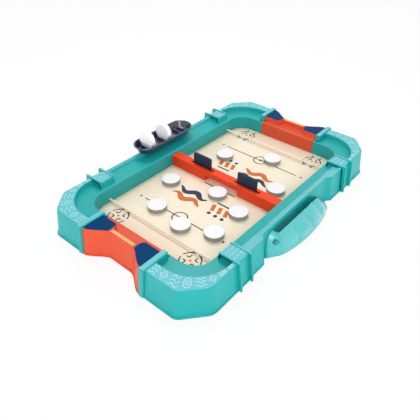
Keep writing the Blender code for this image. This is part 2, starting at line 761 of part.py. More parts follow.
def rounded_area(grow):
    """The outline of the playing area with round corners, grown by a margin."""
    radius = AREA_CORNER_RADIUS + grow
    outline = []
    for turn, (x, y) in enumerate([(1, 1), (-1, 1), (-1, -1), (1, -1)]):
        for index in range(ARC_STEPS + 1):
            angle = math.pi / 2 * (turn + index / ARC_STEPS)
            outline.append((x * CORNER_X + radius * math.cos(angle),
                            y * CORNER_Y + radius * math.sin(angle)))
    return outline


def play_board():
    """The board, which reaches a little under the inner walls."""
    return keep(plate("play_board", rounded_area(BOARD_BORDER), BOARD_UNDERSIDE, BOARD_TOP), brown)


def printed_sheet():
    """The printed sheet on the board, inside the walls."""
    low = BOARD_TOP + FIT_GAP
    return keep(plate("printed_sheet", rounded_area(-FIT_GAP), low, SHEET_TOP), cream)


def panel_outline():
    """The base panel's outline inside the outer walls."""
    offset = OUTER_DRAFT - WALL - FIT_GAP
    side_corner, end_corner = chamfer_corners(offset)
    quarter = [
        (COLLAR_START, RIM_HALF_WIDTH + offset),
        side_corner,
        end_corner,
        (RIM_HALF_LENGTH + offset, GRIP_HALF_WIDTH),
    ]
    grip = [(grip_reach(y) + offset, y) for y in grip_stations(GRIP_HALF_WIDTH)[1:-1]]
    far_end = quarter + grip[::-1] + [(x, -y) for x, y in reversed(quarter)]
    near_end = [(-x, -y) for x, y in far_end]
    handle_side = [(x, -y - offset) for x, y in reversed(handle_rail_stations(COLLAR_START))]
    tray_side = [(x, y + offset) for x, y in tray_rail_stations(COLLAR_START)]
    return far_end + handle_side + near_end + tray_side


def screw_places():
    """Every screw, as (name, x, y)."""
    places = []
    for end, side_x in ENDS.items():
        for side, side_y in SIDES.items():
            x, y = corner_screw(side_x, side_y)
            places.append((end + "_" + side + "_corner_screw", x, y))
            places.append((end + "_" + side + "_rail_screw", side_x * RAIL_SCREW_X, side_y * RAIL_SCREW_Y))
            places.append((end + "_" + side + "_grip_screw", side_x * GRIP_SCREW_X, side_y * GRIP_SCREW_Y))
    return places


def foot_places():
    """Every rubber foot, as (name, x, y)."""
    return [(end + "_" + side + "_foot", side_x * FOOT_X, side_y * FOOT_Y)
            for end, side_x in ENDS.items() for side, side_y in SIDES.items()]


def spread(reach, count):
    """Even places from one side to the other."""
    return [reach * (2 * index / (count - 1) - 1) for index in range(count)]


def base_panel():
    """The panel that closes the frame from below and carries the board on its ribs."""
    panel = keep(plate("base_panel", panel_outline(), PANEL_UNDERSIDE, PANEL_TOP), grey)
    sunk = PANEL_TOP - PANEL_THICKNESS / 2
    rib_top = BOARD_UNDERSIDE - FIT_GAP
    half = PANEL_RIB / 2
    across = [((x - half, -PANEL_RIB_REACH_Y - half, sunk), (x + half, PANEL_RIB_REACH_Y + half, rib_top))
              for x in spread(PANEL_RIB_REACH_X, PANEL_RIBS_ACROSS)]
    combine(panel, blocks("panel_ribs_across", across), "UNION")
    along = [((-PANEL_RIB_REACH_X - PANEL_RIB, y - half, sunk),
              (PANEL_RIB_REACH_X + PANEL_RIB, y + half, rib_top - PANEL_RIB / 4))
             for y in spread(PANEL_RIB_REACH_Y - PANEL_RIB, PANEL_RIBS_ALONG)]
    combine(panel, blocks("panel_ribs_along", along), "UNION")
    screws = [(x, y) for name, x, y in screw_places()]
    feet = [(x, y) for name, x, y in foot_places()]
    combine(panel, posts("panel_pads", screws, PAD_RADIUS, sunk, PAD_TOP), "UNION")
    foot_ceiling = FOOT_HEIGHT + FIT_GAP
    cups = posts("panel_foot_cups", feet, FOOT_RADIUS + FIT_GAP + WALL, sunk, foot_ceiling + FOOT_SKIN)
    combine(panel, cups, "UNION")
    recess = posts("panel_foot_recesses", feet, FOOT_RADIUS + FIT_GAP, -OVERRUN, foot_ceiling, FOOT_SIDES)
    combine(panel, recess, "DIFFERENCE")
    head_room = screw_head_top() + FIT_GAP
    heads = posts("panel_head_recesses", screws, SCREW_HEAD_RADIUS + FIT_GAP, -OVERRUN, head_room)
    combine(panel, heads, "DIFFERENCE")
    drill = posts("panel_drill", screws, SCREW_RADIUS + FIT_GAP, head_room - OVERRUN / 3, PAD_TOP + OVERRUN)
    combine(panel, drill, "DIFFERENCE")
    return panel


def screw_head_top():
    """The upper face of the screw heads, inside the panel."""
    return PANEL_UNDERSIDE + SCREW_HEAD_HEIGHT + FIT_GAP / 3


def screw_profile(head_seat):
    """A screw's outline from its point down to its head, which ends at a seat."""
    low = head_seat - SCREW_HEAD_HEIGHT
    top = head_seat + SCREW_LENGTH
    return [
        (0, top),
        (SCREW_RADIUS / 2, top),
        (SCREW_RADIUS, top - SCREW_RADIUS),
        (SCREW_RADIUS, head_seat),
        (SCREW_HEAD_RADIUS, head_seat),
        (SCREW_HEAD_RADIUS, low),
        (0, low),
    ]


def screws():
    """The panel's screws, each with its head up in the panel, and the handle's screws."""
    for name, x, y in screw_places():
        made = keep(turned(name, screw_profile(screw_head_top()), SCREW_SIDES), steel)
        made.location = (x, y, 0)
        smooth(made)
    for name, x, z in handle_screw_places():
        made = keep(turned(name, screw_profile(-WELL_FLOOR - FIT_GAP), SCREW_SIDES), steel)
        made.rotation_euler.x = -math.pi / 2
        made.location = (x, -wall_face(z), z)
        smooth(made)


def feet():
    """The rubber feet in the panel's recesses."""
    profile = [
        (0, FOOT_HEIGHT),
        (FOOT_RADIUS, FOOT_HEIGHT),
        (FOOT_RADIUS, EDGE_ROUND / 2),
        (FOOT_RADIUS - EDGE_ROUND / 2, 0),
        (0, 0),
    ]
    for name, x, y in foot_places():
        made = keep(turned(name, profile, FOOT_SIDES), rubber)
        made.location = (x, y, 0)
        smooth(made)


def divider():
    """The hollow wall across the board, with its gate and the shutters' slots."""
    half_thickness = DIVIDER_THICKNESS / 2
    half_width = AREA_HALF_WIDTH - FIT_GAP
    foot = SHEET_TOP + FIT_GAP
    lintel = SHEET_TOP + GATE_CLEAR_HEIGHT
    made = keep(block("divider", (-half_thickness, -half_width, foot),
                      (half_thickness, half_width, DIVIDER_TOP)), orange)
    bevel = made.modifiers.new("edges", "BEVEL")
    bevel.width = DIVIDER_ROUND
    bevel.segments = BEVEL_STEPS
    inside = half_thickness - WALL
    ceiling = DIVIDER_TOP - WALL
    channel_reach = half_width - WALL
    combine(made, block("divider_channel", (-inside, -channel_reach, lintel + WALL),
                        (inside, channel_reach, ceiling)), "DIFFERENCE")
    pockets = []
    slots = []
    slot_half = slot_half_length()
    slot_side = SHUTTER_THICKNESS / 2 + FIT_GAP
    for side in (-1, 1):
        near, far = sorted((side * (GATE_HALF_WIDTH + WALL), side * channel_reach))
        pockets.append(((-inside, near, foot - OVERRUN), (inside, far, ceiling - WALL)))
        middle = side * SHUTTER_PLACE
        slots.append(((-slot_side, middle - slot_half, ceiling - WALL / 2),
                      (slot_side, middle + slot_half, DIVIDER_TOP + OVERRUN)))
    combine(made, blocks("divider_pockets", pockets), "DIFFERENCE")
    combine(made, blocks("divider_slots", slots), "DIFFERENCE")
    gate = block("divider_gate", (-half_thickness - OVERRUN, -GATE_HALF_WIDTH, foot - OVERRUN),
                 (half_thickness + OVERRUN, GATE_HALF_WIDTH, lintel))
    combine(made, gate, "DIFFERENCE")
    return made


def slot_half_length():
    """Half the length of a shutter's slot."""
    return SHUTTER_WIDTH / 2 + SHUTTER_TRAVEL + FIT_GAP


def shutter(name, side):
    """A shutter in its slot, with a foot that keeps it inside the divider."""
    top = DIVIDER_TOP + SHUTTER_RISE
    foot_low = SHEET_TOP + GATE_CLEAR_HEIGHT + WALL + FIT_GAP
    foot_high = DIVIDER_TOP - WALL - FIT_GAP
    half_width = SHUTTER_WIDTH / 2
    half_thickness = SHUTTER_THICKNESS / 2
    made = keep(block(name, (-half_thickness, -half_width, foot_low + FIT_GAP),
                      (half_thickness, half_width, top)), dark_navy)
    bevel = made.modifiers.new("edges", "BEVEL")
    bevel.width = SHUTTER_ROUND
    bevel.segments = BEVEL_STEPS
    foot_side = DIVIDER_THICKNESS / 2 - WALL - SHUTTER_FOOT_MARGIN
    foot_half = half_width + SHUTTER_FOOT_OVERLAP
    foot = block(name + "_foot", (-foot_side, -foot_half, foot_low), (foot_side, foot_half, foot_high))
    foot.location.y = side * SHUTTER_PLACE
    combine(made, foot, "UNION")
    made.location.y = side * SHUTTER_PLACE
    return made


def elastic_cord(name, side_x):
    """A cord stretched across one end, held behind the collars' inner walls."""
    curve = bpy.data.curves.new(name, "CURVE")
    curve.dimensions = "3D"
    curve.bevel_depth = CORD_RADIUS
    curve.bevel_resolution = 2
    curve.use_fill_caps = True
    reach = AREA_HALF_WIDTH + WALL + CORD_TAIL
    spline = curve.splines.new("POLY")
    spline.points.add(1)
    spline.points[0].co = (side_x * CORD_PLACE, -reach, CORD_HEIGHT, 1)
    spline.points[1].co = (side_x * CORD_PLACE, reach, CORD_HEIGHT, 1)
    guide = bpy.data.objects.new(name + "_curve", curve)
    return keep(meshed(guide, name), cord_cream)


def cord_stop(name, side_x, side_y):
    """The ring that holds a cord's end behind the wall."""
    bore = CORD_RADIUS + FIT_GAP
    rim = bore + STOP_WALL
    half = STOP_LENGTH / 2
    profile = [(bore, half), (rim - FIT_GAP, half), (rim, half - FIT_GAP), (rim, -half), (bore, -half),
               (bore, half)]
    made = keep(turned(name, profile, POST_SIDES), dark_navy)
    made.rotation_euler.x = math.pi / 2
    made.location = (side_x * CORD_PLACE, side_y * (AREA_HALF_WIDTH + WALL + FIT_GAP + half), CORD_HEIGHT)
    smooth(made)
    return made


def puck_profile():
    """A puck's outer side, from the middle of its top to the middle of its underside."""
    half = PUCK_HEIGHT / 2
    return [
        (0, half),
        (PUCK_RADIUS - PUCK_ROUND, half),
        (PUCK_RADIUS - PUCK_ROUND / 3, half - PUCK_ROUND / 3),
        (PUCK_RADIUS, half - PUCK_ROUND),
        (PUCK_RADIUS, PUCK_ROUND - half),
        (PUCK_RADIUS - PUCK_ROUND / 3, PUCK_ROUND / 3 - half),
        (PUCK_RADIUS - PUCK_ROUND, -half),
        (0, -half),
    ]


def board_puck(name, place):
    """A puck that lies on the board."""
    made = keep(turned(name, puck_profile(), PUCK_SIDES), white)
    made.location = (*place, PUCK_REST + PUCK_HEIGHT / 2)
    smooth(made)
    return made


def slot_x(index):
    """The middle of one of the tray's three slots."""
    return TRAY_MIDDLE_X + (index - 1) * TRAY_SLOT_PITCH


def tray_puck(name, index):
    """A puck that stands on edge in a slot of the tray."""
    made = keep(turned(name, puck_profile(), PUCK_SIDES), white)
    made.rotation_euler.y = math.pi / 2
    made.location = (slot_x(index), TRAY_MIDDLE_Y, TRAY_FLOOR + PUCK_GAP + PUCK_RADIUS)
    smooth(made)
    return made


def stadium(radius, height):
    """A loop with straight sides along X and round ends."""
    loop = []
    for turn, side in enumerate((1, -1)):
        for index in range(ARC_STEPS + 1):
            angle = math.pi * (turn + index / ARC_STEPS) - math.pi / 2
            loop.append((TRAY_MIDDLE_X + side * TRAY_STRAIGHT_HALF + radius * math.cos(angle),
                         TRAY_MIDDLE_Y + radius * math.sin(angle), height))
    return loop


def puck_tray():
    """The boat-shaped tray, its slots' ribs and the hooks that hold it on the rim."""
    flare = (TRAY_TOP_RADIUS - TRAY_FOOT_RADIUS) / TRAY_DEPTH
    lip_low = TRAY_TOP - TRAY_WALL
    loops = [
        stadium(TRAY_FOOT_RADIUS, TRAY_FOOT),
        stadium(TRAY_TOP_RADIUS - TRAY_LIP - flare * TRAY_WALL, lip_low),
        stadium(TRAY_TOP_RADIUS, lip_low),
        stadium(TRAY_TOP_RADIUS, TRAY_TOP),
        stadium(TRAY_TOP_RADIUS - TRAY_WALL, TRAY_TOP),
        stadium(TRAY_FOOT_RADIUS - TRAY_WALL + flare * TRAY_WALL, TRAY_FLOOR),
    ]
    tray = keep(loft("puck_tray", loops), dark_navy)
    ribs = []
    rib_offset = (PUCK_HEIGHT + TRAY_RIB_THICKNESS) / 2 + TRAY_SLOT_GAP
    half = TRAY_RIB_THICKNESS / 2
    for index in range(TRAY_SLOTS):
        for side in (-1, 1):
            x = slot_x(index) + side * rib_offset
            ribs.append(((x - half, TRAY_MIDDLE_Y - TRAY_RIB_HALF_WIDTH, TRAY_FLOOR - TRAY_WALL / 2),
                         (x + half, TRAY_MIDDLE_Y + TRAY_RIB_HALF_WIDTH, TRAY_FLOOR + TRAY_RIB_HEIGHT)))
    combine(tray, blocks("tray_ribs", ribs), "UNION")
    left = TRAY_MIDDLE_X - HOOK_HALF_LENGTH
    right = TRAY_MIDDLE_X + HOOK_HALF_LENGTH
    root = TRAY_FOOT + TRAY_WALL / 2
    outer_foot = RIM_HEIGHT - OUTER_HOOK_DROP
    outer_face = RAIL_REACH + outer_lean(outer_foot) + FIT_GAP
    inner_face = TRAY_RAIL_STEP - FIT_GAP
    hooks = [
        ((left, outer_face, outer_foot), (right, outer_face + HOOK_THICKNESS, root)),
        ((left, inner_face - HOOK_THICKNESS, RIM_HEIGHT - TRAY_RAIL_RIM_DROP - INNER_HOOK_DROP),
         (right, inner_face, root)),
    ]
    combine(tray, blocks("tray_hooks", hooks), "UNION")
    return tray


def handle_reach(x):
    """How far out the handle stands: a bow over the finger gap, straight tapers over its end blocks."""
    heel = HANDLE_NEAR_GAP
    if abs(x) <= heel:
        return HANDLE_HEEL_REACH + HANDLE_BOW * (1 - (abs(x) / heel) ** BOW_POWER_SHARE)
    tip = HANDLE_NEAR_TIP if x < 0 else HANDLE_FAR_TIP
    return HANDLE_TIP_REACH + HANDLE_HEEL_PROUD * (abs(tip) - abs(x)) / (abs(tip) - heel)


def handle_top(x):
    """The handle's top, which rounds down to the near tip and slopes down to the far tip."""
    fall = HANDLE_TOP - HANDLE_TIP_HEIGHT
    near_share = min(max((HANDLE_NEAR_TIP + HANDLE_NEAR_FALL - x) / HANDLE_NEAR_FALL, 0), 1)
    far_share = ease_share((x - HANDLE_FAR_TIP + HANDLE_FAR_FALL) / HANDLE_FAR_FALL)
    return HANDLE_TIP_HEIGHT + fall * (math.sqrt(1 - near_share * near_share) - far_share)


def wall_face(height):
    """The rail's outer face behind the handle at a height, with the clearance to the handle."""
    return RECESS_REACH + outer_lean(height) + FIT_GAP


def handle_section(x, free):
    """A section of the handle; a free one has its own back, any other lies against the rail."""
    front = handle_reach(x)
    size = (handle_top(x) - HANDLE_UNDERSIDE) / (HANDLE_TOP - HANDLE_UNDERSIDE)

    def level(height):
        return HANDLE_UNDERSIDE + (height - HANDLE_UNDERSIDE) * size

    back_top = level(HANDLE_TOP - HANDLE_CREST)
    lip_face = wall_face(PANEL_UNDERSIDE) + LIP_PROUD
    crest = HANDLE_BACK if free else wall_face(back_top)
    shoulder = crest + (front - crest) * SHOULDER_SHARE
    shape = [
        (crest, back_top),
        (crest + HANDLE_CREST * size / 2, level(HANDLE_TOP)),
        (crest + HANDLE_CREST * size, level(HANDLE_TOP)),
        (shoulder, level(HANDLE_TOP - HANDLE_SHOULDER_DROP)),
        (front, level(HANDLE_BELLY_HEIGHT)),
        (front, HANDLE_UNDERSIDE + EDGE_ROUND),
        (front - EDGE_ROUND, HANDLE_UNDERSIDE),
    ]
    if free:
        back = front - HANDLE_BAR
        shape += [
            (back, HANDLE_UNDERSIDE),
            (back, LIP_TOP),
            (back, level(HANDLE_BELLY_HEIGHT - HANDLE_BAR)),
            (shoulder - HANDLE_BAR / 2, level(HANDLE_TOP - HANDLE_SHOULDER_DROP - HANDLE_BAR)),
        ]
    else:
        above_lip = LIP_TOP + FIT_GAP
        belly = level(HANDLE_BELLY_HEIGHT)
        shape += [
            (lip_face, HANDLE_UNDERSIDE),
            (lip_face, above_lip),
            (wall_face(above_lip), above_lip),
            (wall_face(belly), belly),
        ]
    return [(x, -y, z) for y, z in shape]


def between(start, end, steps):
    """Even places from start to end."""
    return [start + (end - start) * index / steps for index in range(steps + 1)]


def handle_screw_places():
    """The handle's screws, as (name, x, z)."""
    near_x = HANDLE_NEAR_TIP + NEAR_SCREW_INSET
    far_x = HANDLE_FAR_TIP - FAR_SCREW_INSET
    return [
        ("near_handle_screw", near_x, handle_top(near_x) * NEAR_SCREW_SHARE),
        ("far_handle_screw", far_x, handle_top(far_x) * FAR_SCREW_SHARE),
    ]


def carry_handle(rail):
    """The bowed handle, screwed to the handle side's rail, with a finger gap behind it."""
    loops = [handle_section(x, False)
             for x in between(HANDLE_NEAR_TIP, -HANDLE_NEAR_GAP - HANDLE_BLEND, HANDLE_BLOCK_STEPS)]
    loops += [handle_section(x, True) for x in between(-HANDLE_NEAR_GAP, HANDLE_FAR_GAP, HANDLE_BAR_STEPS)]
    loops += [handle_section(x, False)
              for x in between(HANDLE_FAR_GAP + HANDLE_BLEND, HANDLE_FAR_TIP, HANDLE_BLOCK_STEPS)]
    handle = keep(loft("carry_handle", loops), turquoise)
    outside = HANDLE_HEEL_REACH + HANDLE_BOW
    for name, x, z in handle_screw_places():
        face = wall_face(z)
        inside = face - SCREW_LENGTH
        combine(rail, cross_rod(name + "_boss", x, z, BOSS_RADIUS, -inside, WALL / 2 - face), "UNION")
        drill = cross_rod(name + "_drill", x, z, SCREW_RADIUS + FIT_GAP, -inside - WALL, -outside)
        combine(rail, drill, "DIFFERENCE")
        combine(handle, drill, "DIFFERENCE")
        well = cross_rod(name + "_well", x, z, WELL_RADIUS, -face - WELL_FLOOR, -outside)
        combine(handle, well, "DIFFERENCE")
    return handle


clear_scene()
parts = new_collection("table_hockey_game")
cutters = new_collection("cutters")
board_middle = bpy.data.objects.new("board_middle", None)
board_middle.location.y = BOARD_MIDDLE_Y
cutters.objects.link(board_middle)
turquoise = plastic("turquoise_plastic", TURQUOISE, 0.32)
orange = plastic("orange_plastic", ORANGE, 0.36)
navy = plastic("navy_film", NAVY, 0.4)
dark_navy = plastic("dark_navy_plastic", DARK_NAVY, 0.3)
cream = plastic("printed_cream", CREAM, 0.5)
brown = plastic("board_fibre", BOARD_BROWN, 0.7)
cord_cream = plastic("elastic_cream", CORD_CREAM, 0.6)
white = plastic("white_plastic", PUCK_WHITE, 0.35)
grey = plastic("grey_plastic", PANEL_GREY, 0.5)
rubber = plastic("foot_rubber", RUBBER_GREY, 0.8)
steel = plastic("screw_steel", STEEL, 0.35, 1.0)

base_panel()
play_board()
printed_sheet()
rail_end = COLLAR_START - FIT_GAP
long_rail("tray_side_rail", 1, tray_rail_stations(rail_end), TRAY_RAIL_STEP, TRAY_RAIL_RIM_DROP)
handle_rail = long_rail("handle_side_rail", -1, handle_rail_stations(rail_end), HANDLE_RAIL_STEP,
                        HANDLE_RAIL_RIM_DROP)
for end_name, end_sign in ENDS.items():
    end_grip(end_name + "_grip", end_sign)
    grip_film(end_name + "_grip_film", end_sign)
    elastic_cord(end_name + "_elastic_cord", end_sign)
    for side_name, side_sign in SIDES.items():
        prefix = end_name + "_" + side_name
        corner_housing(prefix + "_corner", end_sign, side_sign)
        collar(prefix + "_collar", end_sign, side_sign)
        cord_stop(prefix + "_cord_stop", end_sign, side_sign)
divider()
shutter("tray_side_shutter", 1)
shutter("handle_side_shutter", -1)
for puck_name, (share_x, share_y) in {**NEAR_PUCK_SHARES, **FAR_PUCK_SHARES}.items():
    board_puck(puck_name, (CORD_PLACE * share_x, AREA_HALF_WIDTH * share_y))
puck_tray()
tray_puck("tray_puck_near", 0)
tray_puck("tray_puck_middle", 1)
carry_handle(handle_rail)
screws()
feet()
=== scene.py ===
"""Looks of the table hockey game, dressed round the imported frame.

Metres, +Z up. Most pieces are modelled from the middle of the board and placed by PIECE_PLACE. +X
runs towards the far end, +Y towards the puck tray and -Y towards the carry handle.
"""

import json
import math

import bmesh
import bpy
from mathutils import Matrix, Vector

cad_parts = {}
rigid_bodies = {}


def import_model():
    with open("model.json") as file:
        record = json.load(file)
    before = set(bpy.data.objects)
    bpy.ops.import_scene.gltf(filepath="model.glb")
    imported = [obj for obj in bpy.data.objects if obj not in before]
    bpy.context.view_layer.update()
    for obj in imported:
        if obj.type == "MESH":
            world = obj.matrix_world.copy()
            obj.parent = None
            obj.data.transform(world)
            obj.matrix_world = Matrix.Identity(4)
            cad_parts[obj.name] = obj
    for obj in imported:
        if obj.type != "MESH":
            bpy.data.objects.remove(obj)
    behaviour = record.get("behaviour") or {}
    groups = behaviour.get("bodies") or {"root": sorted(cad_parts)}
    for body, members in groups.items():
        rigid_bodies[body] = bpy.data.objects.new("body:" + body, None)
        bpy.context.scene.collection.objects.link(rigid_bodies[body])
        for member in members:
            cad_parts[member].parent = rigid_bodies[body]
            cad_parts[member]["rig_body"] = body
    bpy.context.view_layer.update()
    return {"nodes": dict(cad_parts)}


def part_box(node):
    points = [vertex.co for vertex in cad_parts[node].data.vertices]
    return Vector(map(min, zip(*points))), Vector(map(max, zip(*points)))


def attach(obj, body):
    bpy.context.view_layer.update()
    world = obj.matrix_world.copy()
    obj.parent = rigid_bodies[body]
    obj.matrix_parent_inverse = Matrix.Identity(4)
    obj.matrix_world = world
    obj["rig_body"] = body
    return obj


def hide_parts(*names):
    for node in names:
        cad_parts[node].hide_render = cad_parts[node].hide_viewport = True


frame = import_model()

# Heights above the table
PANEL_UNDERSIDE = 0.001
SHEET_TOP = 0.011
WALL_FOOT = 0.0108
BOSS_FOOT = 0.0045
LEDGE_HEIGHT = 0.0334
RIM_HEIGHT = 0.0414
LIP_TOP = 0.0035

# Playing area and hollow frame
AREA_HALF_LENGTH = 0.1752
AREA_HALF_WIDTH = 0.1
AREA_CORNER_RADIUS = 0.026
WALL = 0.002
FIT_GAP = 0.0003
RIM_HALF_LENGTH = 0.218
RIM_HALF_WIDTH = 0.1315
CHAMFER_LENGTH = 0.0295
CHAMFER_WIDTH = 0.0255
OUTER_DRAFT = 0.005
LIP_PROUD = 0.0012
STEP_RUN = 0.0012
STEP_RADIUS = 0.05
BOARD_BORDER = 0.003

# Rounding of the moulded edges
LEDGE_ROUND = 0.0021
STEP_ROUND = 0.0009
RIM_ROUND = 0.0017
LIP_ROUND = 0.0005
PLAN_ROUND = 0.006          # of the corner housings' outer edges, seen from above
PLAN_RUNS = (12, 8, 10)     # steps along a housing's side, chamfer and end
ROUND_STEPS = 4
ROUND_LIMIT = 0.45          # of the shorter side at a corner
SLAB_EASE = 0.125           # of a thin slab's thickness
BOX_EDGE_STEPS = 3
ROUND_PROFILE = 0.5
SHARP_ANGLE = 32            # degrees

# Long rails and collars
RAIL_REACH = 0.13
TRAY_RAIL_STEP = 0.1242
HANDLE_RAIL_STEP = 0.114
RAIL_LEDGE_RISE = 0.002
TRAY_RAIL_RIM_DROP = 0.0028
HANDLE_RAIL_RIM_DROP = 0.0038
RECESS_REACH = 0.124        # of the handle side's rail, behind the handle
RECESS_START = 0.09
RECESS_END = 0.0795
RECESS_STEPS = 16
COLLAR_START = 0.119
COLLAR_LENGTH = 0.025
COLLAR_STEPS = {"tray": 0.108, "handle": 0.1045}
COLLAR_RISE = 0.0016        # of its plate above the rim
FIN_THICKNESS = 0.003
FINS_PROUD = {"tray": 0.0072, "handle": 0.0045}
FIN_RISE = 0.003

# End grips and their films
GRIP_HALF_WIDTH = 0.0515
GRIP_MIDDLE_REACH = 0.2005
GRIP_FLAT_HALF = 0.017
GRIP_STEP = 0.1845
GRIP_POCKET_REACH = 0.1942
POCKET_INNER_HALF = 0.026
POCKET_OUTER_HALF = 0.02
GRIP_STATIONS = 72
FILM_MARGIN = 0.0009
FILM_SINK = 0.000075
FILM_THICKNESS = 0.0003
HALFTONE_CELL = 0.0014
HALFTONE_START = 0.0175     # from the grip's middle, where the navy dots begin
HALFTONE_END = 0.0265       # where they have grown together
HALF_CELL = 0.5             # in cells, as the dots' radii
NAVY_DOT_FULL = 0.42
# sizes of the salmon dots of the painted highlight, at the grip's middle and where the halftone ends
HIGHLIGHT_DOT_MIDDLE = 0.6
HIGHLIGHT_DOT_END = 0.1

# Ribs beside the grips
RIB_THICKNESS = 0.008
RIB_RISE = 0.0022
RIB_PROUD = 0.0032
RIB_FOOT_PROUD = 0.001
RIB_INSET = 0.0055
RIB_WALL_INSET = 0.0004

# Embossed band on the corner housings, and the collars' plates
BAND_MARGIN = 0.0008
BAND_LINE = 0.0011
BAND_GROUND = 0.00015
BAND_RELIEF = 0.0004
BAND_SINK = 0.0002
BAND_TOOTH = 0.0016
BAND_STEPS = 60
BAND_CELLS = 8
MOTIF_SHARE = 0.4           # of a cell, each way from its middle
RING_MOTIF = ((0.38, 0.16), 20)         # sizes across the band, and points round each
DIAMOND_MOTIF = ((0.42, 0.22), 4)
BAND_WAVE_PLACES = (0.18, 0.5, 0.82)
BAND_WAVE_RISE = 0.1
BAND_WAVE_TURNS = 1.5
BAND_WAVE_STEPS = 10
LEAST_SLOPE = 0.0003        # keeps the reach of a ray along an axis finite
PLATE_TEETH = 8
PLATE_LINE_SHARES = (0.25, 0.5, 0.75)

# Cords
CORD_PLACE = 0.1374
CORD_RADIUS = 0.0015
CORD_HEIGHT = 0.0158
CORD_TAIL = 0.0055
CORD_SIDES = 20
CORD_STEPS = 60
BRAID_TURN = 0.7            # radians
BRAID_SCALE = 620
BRAID_DEPTH = 0.00002

# Puck tray
TRAY_MIDDLE_X = 0.002
TRAY_MIDDLE_Y = 0.1265
TRAY_STRAIGHT_HALF = 0.0395
TRAY_END_STEPS = 28
TRAY_TOP_RADIUS = 0.019
TRAY_FOOT_RADIUS = 0.013
TRAY_FOOT = 0.0417
TRAY_TOP = 0.0537
TRAY_WALL = 0.0018
TRAY_LIP = 0.0006
TRAY_SLOT_PITCH = 0.0355
TRAY_RIB_THICKNESS = 0.0015
TRAY_RIB_HEIGHT = 0.0045
TRAY_RIB_HALF_WIDTH = 0.01
TRAY_RIB_OFFSET = 0.00515
TRAY_ROUND = 0.0009
TRAY_LIP_ROUND = 0.00045
TRAY_FLOOR_ROUND = 0.0018
TRAY_EDGE = 0.0003          # of its ribs and hooks
HOOK_HALF_LENGTH = 0.03
HOOK_THICKNESS = 0.0015
OUTER_HOOK_DROP = 0.008
INNER_HOOK_DROP = 0.0022

# Carry handle
HANDLE_NEAR_TIP = -0.078
HANDLE_FAR_TIP = 0.076
HANDLE_NEAR_GAP = 0.06
HANDLE_FAR_GAP = 0.05
HANDLE_BLEND = 0.002
HANDLE_TOP = 0.036
HANDLE_TIP_HEIGHT = 0.009
HANDLE_NEAR_FALL = 0.017
HANDLE_FAR_FALL = 0.045
HANDLE_BACK = 0.1345
HANDLE_TIP_REACH = 0.1322
HANDLE_HEEL_REACH = 0.1442
HANDLE_BOW = 0.0078
HANDLE_BAR = 0.0042
HANDLE_SHOULDER_DROP = 0.005
HANDLE_BELLY_HEIGHT = 0.018
HANDLE_UNDERSIDE = 0.0015
HANDLE_CREST = 0.002
HANDLE_ROUND = 0.0016
SHOULDER_ROUND = 0.0032
BELLY_ROUND = 0.0048
HANDLE_INNER_ROUND = 0.0008
SHOULDER_SHARE = 0.55
BOW_POWER = 2.2
HANDLE_BLOCK_STEPS = 24
HANDLE_BAR_STEPS = 110
FRONT_CORNERS = 4
FRONT_STEPS = 12
WELL_RADIUS = 0.0037
WELL_FLOOR = 0.004
WELL_SIDES = 48
GROOVE_DEPTH = 0.0032
GROOVE_HALF_WIDTH = 0.0046
GROOVE_FOOT = (1.15, 0.85)  # shares of its length between which its foot fades
GROOVE_HEAD = (0.0, 0.12)
GROOVES = [                 # from top to foot, as (along X, above the table)
    ((-0.036, 0.034), (-0.026, 0.008)),
    ((-0.007, 0.035), (0.008, 0.009)),
    ((0.02, 0.036), (0.033, 0.016)),
]

# Shutters and pucks
SHUTTER_THICKNESS = 0.0032
SHUTTER_CORNER = 0.0028
SHUTTER_EDGE = 0.0005
SHUTTER_FOOT_OVERLAP = 0.003
SHUTTER_FOOT_HEIGHT = 0.0044
PUCK_ROUND = 0.0009
PUCK_SIDES = 72
PUCK_FACE = (0.003, 0.0036)             # from its middle, where the side band ends, which is painted shade on the board's pucks

# Printing on the sheet
INK_LOW = SHEET_TOP - 0.00004
INK_HIGH = SHEET_TOP + 0.00005
LINE_WIDTH = 0.0018
RING_STEPS = 40
DOT_SIDES = 24
HALF_LINE_X = 0.098
HALF_LINE_REACH = 0.0687
CENTRE_RING = 0.011
CENTRE_DOT = 0.0024
END_DOT_Y = 0.077
GOAL_LINE_X = 0.0105
GOAL_LINE_REACH = 0.029
FACE_OFF_X = 0.151
FACE_OFF_Y = 0.0668
FACE_OFF_RING = 0.0142
FACE_OFF_GAP = 0.025        # of a turn, before each of the four arcs
FACE_OFF_ARC = 0.2
MARK_PLACE = (0.26, 0.32)   # of the ring's radius, as the marks' reach and the ticks
MARK_REACH = (0.4, 0.32)
TICK_Y = 0.5
TICK_X = (0.86, 1.3)
WAVE_X = 0.044
WAVE_PITCH = 0.0155
WAVE_RISE = 0.004
WAVE_TURNS = 1.75
WAVE_LAG = 0.25             # of a turn, between the two waves
WAVE_START_Y = 0.004
WAVE_REACH = 0.054
WAVE_STEPS = 40
WAVE_THIN = 0.0024
WAVE_THICK = 0.0076
BARS = 3
BARS_X = 0.044
BARS_Y = 0.019
BARS_PITCH = 0.0115
BARS_REACH = 0.014
BARS_SLANT = 0.005
BAR_WIDTH = 0.006

